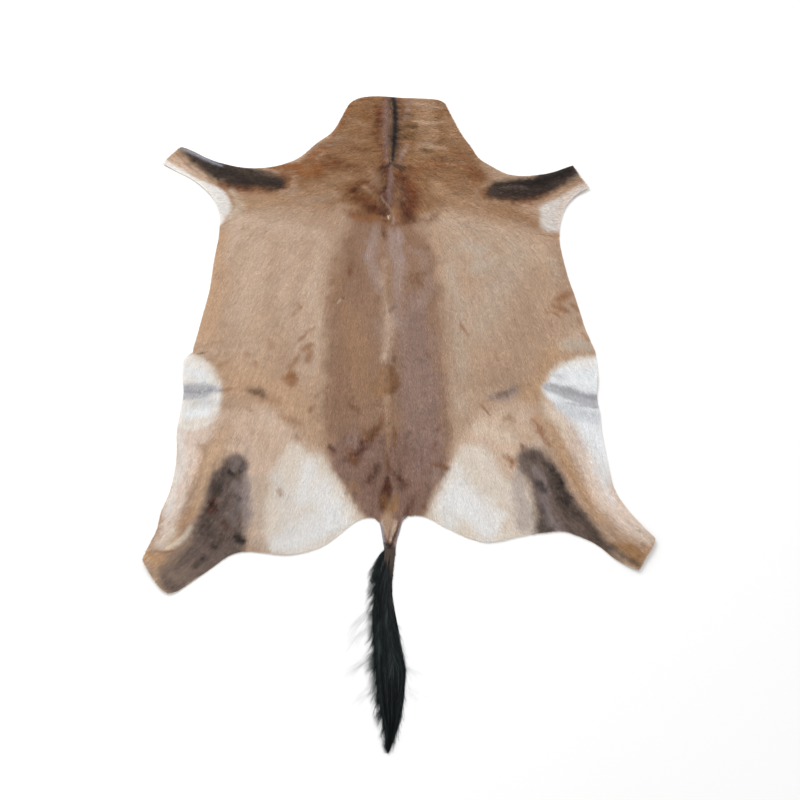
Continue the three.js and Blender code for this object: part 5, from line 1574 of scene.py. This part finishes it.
def fringe_paths(sizes, rng):
    """Centre lines of the short thin hairs that fray out of the tuft in little tufts, most on its left."""
    tufts = sizes.fringe_tufts
    count = tufts * sizes.fringe_hairs
    lowest_root = np.where(rng.random(tufts) < 0.22, -530, -915)
    root_y = rng.uniform(lowest_root, -466)
    left = rng.random(tufts) < 0.88
    root_y[~left] = rng.uniform(-915, -640, (~left).sum())
    length = rng.uniform(10, 38, tufts)
    lane = np.where(left, rng.uniform(-1.0, -0.75, tufts), rng.uniform(0.6, 0.98, tufts))
    reach = np.where(left, rng.random(tufts) ** 2.3, 0.1 * rng.random(tufts) ** 2)

    def each(values, spread):
        """A tuft's value for each of its hairs, with a spread around it."""
        return np.repeat(values, sizes.fringe_hairs) + rng.normal(0, 1, count) * spread

    left = np.repeat(left, sizes.fringe_hairs)
    root_y = np.clip(each(root_y, 3), -930, -464)
    tip_y = np.maximum(root_y - np.maximum(each(length, 5), 5), -944)
    reach = np.clip(each(reach, 0.1), 0, 1.05)
    start = tail_lane(root_y, np.clip(each(lane, 0.04), -1.02, 1.02))
    beyond = at_tail(tip_y, "left") - at_tail(tip_y, "fringe")
    end = np.where(left, at_tail(tip_y, "left") - reach * beyond, at_tail(tip_y, "right") + 60 * reach)
    phase = rng.uniform(0, 2 * math.pi, count)
    rows = []
    for share in (0, 0.3, 0.65, 1):
        x = start + share * (end - start) + 1.2 * share * np.sin(phase + 3 * share)
        y = root_y + (0.35 * share + 0.65 * share * share) * (tip_y - root_y)
        rows.append(np.stack([x, y, 4.5 - 3.6 * share + 0 * x], 1))
    return MM * np.stack(rows, 1)


def wisp_paths(rng):
    """Centre lines of the stray hairs that leave the tuft."""
    hairs = []
    for wisp in WISPS:
        for _ in range(wisp.hairs):
            start = np.array(wisp.start) + rng.normal(0, 5, 2)
            end = np.array(wisp.end) + rng.normal(0, 13, 2)
            rows = []
            for share in np.linspace(0, 1, 7):
                x, y = start + share * (end - start) * (1, 0.35 + 0.65 * share)
                rows.append((x, y, 3.5 - 2.6 * share))
            hairs.append(rows)
    return MM * np.array(hairs)


class HIDE_OT_tail(Operator):
    """Makes the tail: the dock with its short hair, and the long black hair of the tuft"""

    bl_idname = "hide_rug.tail"
    bl_label = "Make the tail"

    def execute(self, context):
        scene = context.scene
        rng = np.random.default_rng(SEED + 8)
        points, faces = dock_surface()
        dock = new_piece("tail_dock", points, faces, bpy.data.materials["coat_skin"])
        carry(dock, "coat", coat_colours(points[:, :2] / MM))
        carry(dock, "rim_gap", np.full(len(points), DOCK_RIM_GAP))
        select_only(dock)
        bpy.ops.object.shade_smooth_by_angle(angle=math.radians(50))
        place_piece(dock, "tail")

        short = coat_on(dock, scene.hide_sizes, DOCK_HAIR_DENSITY, rng)
        dock_coat = hair_blades("tail_dock_coat", rng=rng, **short)
        dock_coat.data.materials.append(bpy.data.materials["coat_hair"])
        place_piece(dock_coat, "tail")

        black = tail_hair_finish(scene.hide_colours)
        sizes = scene.tail_sizes
        tuft, shades = tuft_paths(sizes, rng)
        fringe = fringe_paths(sizes, rng)
        wisps = wisp_paths(rng)
        parts = (
            ("tail_tuft", tuft, shades, 1.0),
            ("tail_fringe", fringe, rng.normal(0.3, 0.25, len(fringe)), 0.5),
            ("tail_wisps", wisps, rng.normal(0.6, 0.3, len(wisps)), 0.2),
        )
        for name, paths, shades, share in parts:
            taper = 1 - 0.8 * np.linspace(0, 1, paths.shape[1]) ** 2
            width = share * sizes.hair_width * rng.uniform(0.6, 1.3, len(paths))
            hair = hair_tubes(name, paths, width[:, None] * taper, np.clip(shades, 0, 1), black)
            place_piece(hair, "tail")
        return {"FINISHED"}


# The stage

def aimed(place, target):
    """The turn of a camera or lamp at a place that looks at a target."""
    return (Vector(target) - Vector(place)).to_track_quat("-Z", "Y").to_euler()


class HIDE_OT_stage(Operator):
    """Makes the pale floor, the soft light and the camera"""

    bl_idname = "hide_rug.stage"
    bl_label = "Make the stage"

    def execute(self, context):
        scene = context.scene
        settings = scene.hide_stage
        bpy.ops.object.camera_add(location=CAMERA_PLACE, rotation=aimed(CAMERA_PLACE, CAMERA_AIM))
        camera = context.object
        camera.data.lens = CAMERA_LENS
        camera.data.sensor_width = CAMERA_SENSOR
        camera.data.clip_end = 100
        scene.camera = camera

        bpy.ops.object.select_all(action="DESELECT")
        bpy.ops.mesh.primitive_plane_add(size=FLOOR_SIZE)
        floor = context.object
        floor.name = "floor"
        floor.data.materials.append(floor_finish(scene.hide_colours))

        world = bpy.data.worlds.new("daylight")
        world.use_nodes = True
        background = world.node_tree.nodes["Background"]
        background.inputs["Color"].default_value = (1.0, 1.0, 1.0, 1.0)
        background.inputs["Strength"].default_value = settings.daylight
        scene.world = world

        bpy.ops.object.light_add(type="AREA", location=LAMP_PLACE, rotation=aimed(LAMP_PLACE, (0, 0, 0)))
        lamp = context.object
        lamp.data.shape = "DISK"
        lamp.data.size = LAMP_SIZE
        lamp.data.energy = settings.lamp
        scene.view_settings.view_transform = "Standard"
        return {"FINISHED"}


class HIDE_PT_panel(Panel):
    """Lists the pieces of the rug and their sizes"""

    bl_idname = "HIDE_PT_panel"
    bl_label = "Hartebeest hide rug"
    bl_space_type = "VIEW_3D"
    bl_region_type = "UI"
    bl_category = "Hide rug"

    def draw(self, context):
        scene = context.scene
        for operator in OPERATORS:
            self.layout.operator(operator.bl_idname)
        for group in (scene.hide_sizes, scene.tail_sizes, scene.hide_colours, scene.hide_stage):
            box = self.layout.box()
            for name in group.bl_rna.properties.keys():
                if name not in ("rna_type", "name"):
                    box.prop(group, name)


GROUPS = {
    "hide_sizes": HideSizes,
    "tail_sizes": TailSizes,
    "hide_colours": FinishColours,
    "hide_stage": StageSettings,
}
OPERATORS = (HIDE_OT_stage, HIDE_OT_skin, HIDE_OT_coat, HIDE_OT_tail)


def register():
    """Makes the operators, the settings and the panel known to Blender."""
    for name, group in GROUPS.items():
        bpy.utils.register_class(group)
        setattr(bpy.types.Scene, name, PointerProperty(type=group))
    for kind in (*OPERATORS, HIDE_PT_panel):
        bpy.utils.register_class(kind)


def unregister():
    """Takes them away again."""
    for kind in (HIDE_PT_panel, *reversed(OPERATORS)):
        bpy.utils.unregister_class(kind)
    for name, group in GROUPS.items():
        delattr(bpy.types.Scene, name)
        bpy.utils.unregister_class(group)


def main():
    """Makes the whole scene."""
    register()
    bpy.ops.hide_rug.stage()
    bpy.ops.hide_rug.skin()
    bpy.ops.hide_rug.coat()
    bpy.ops.hide_rug.tail()


if __name__ == "__main__":
    main()
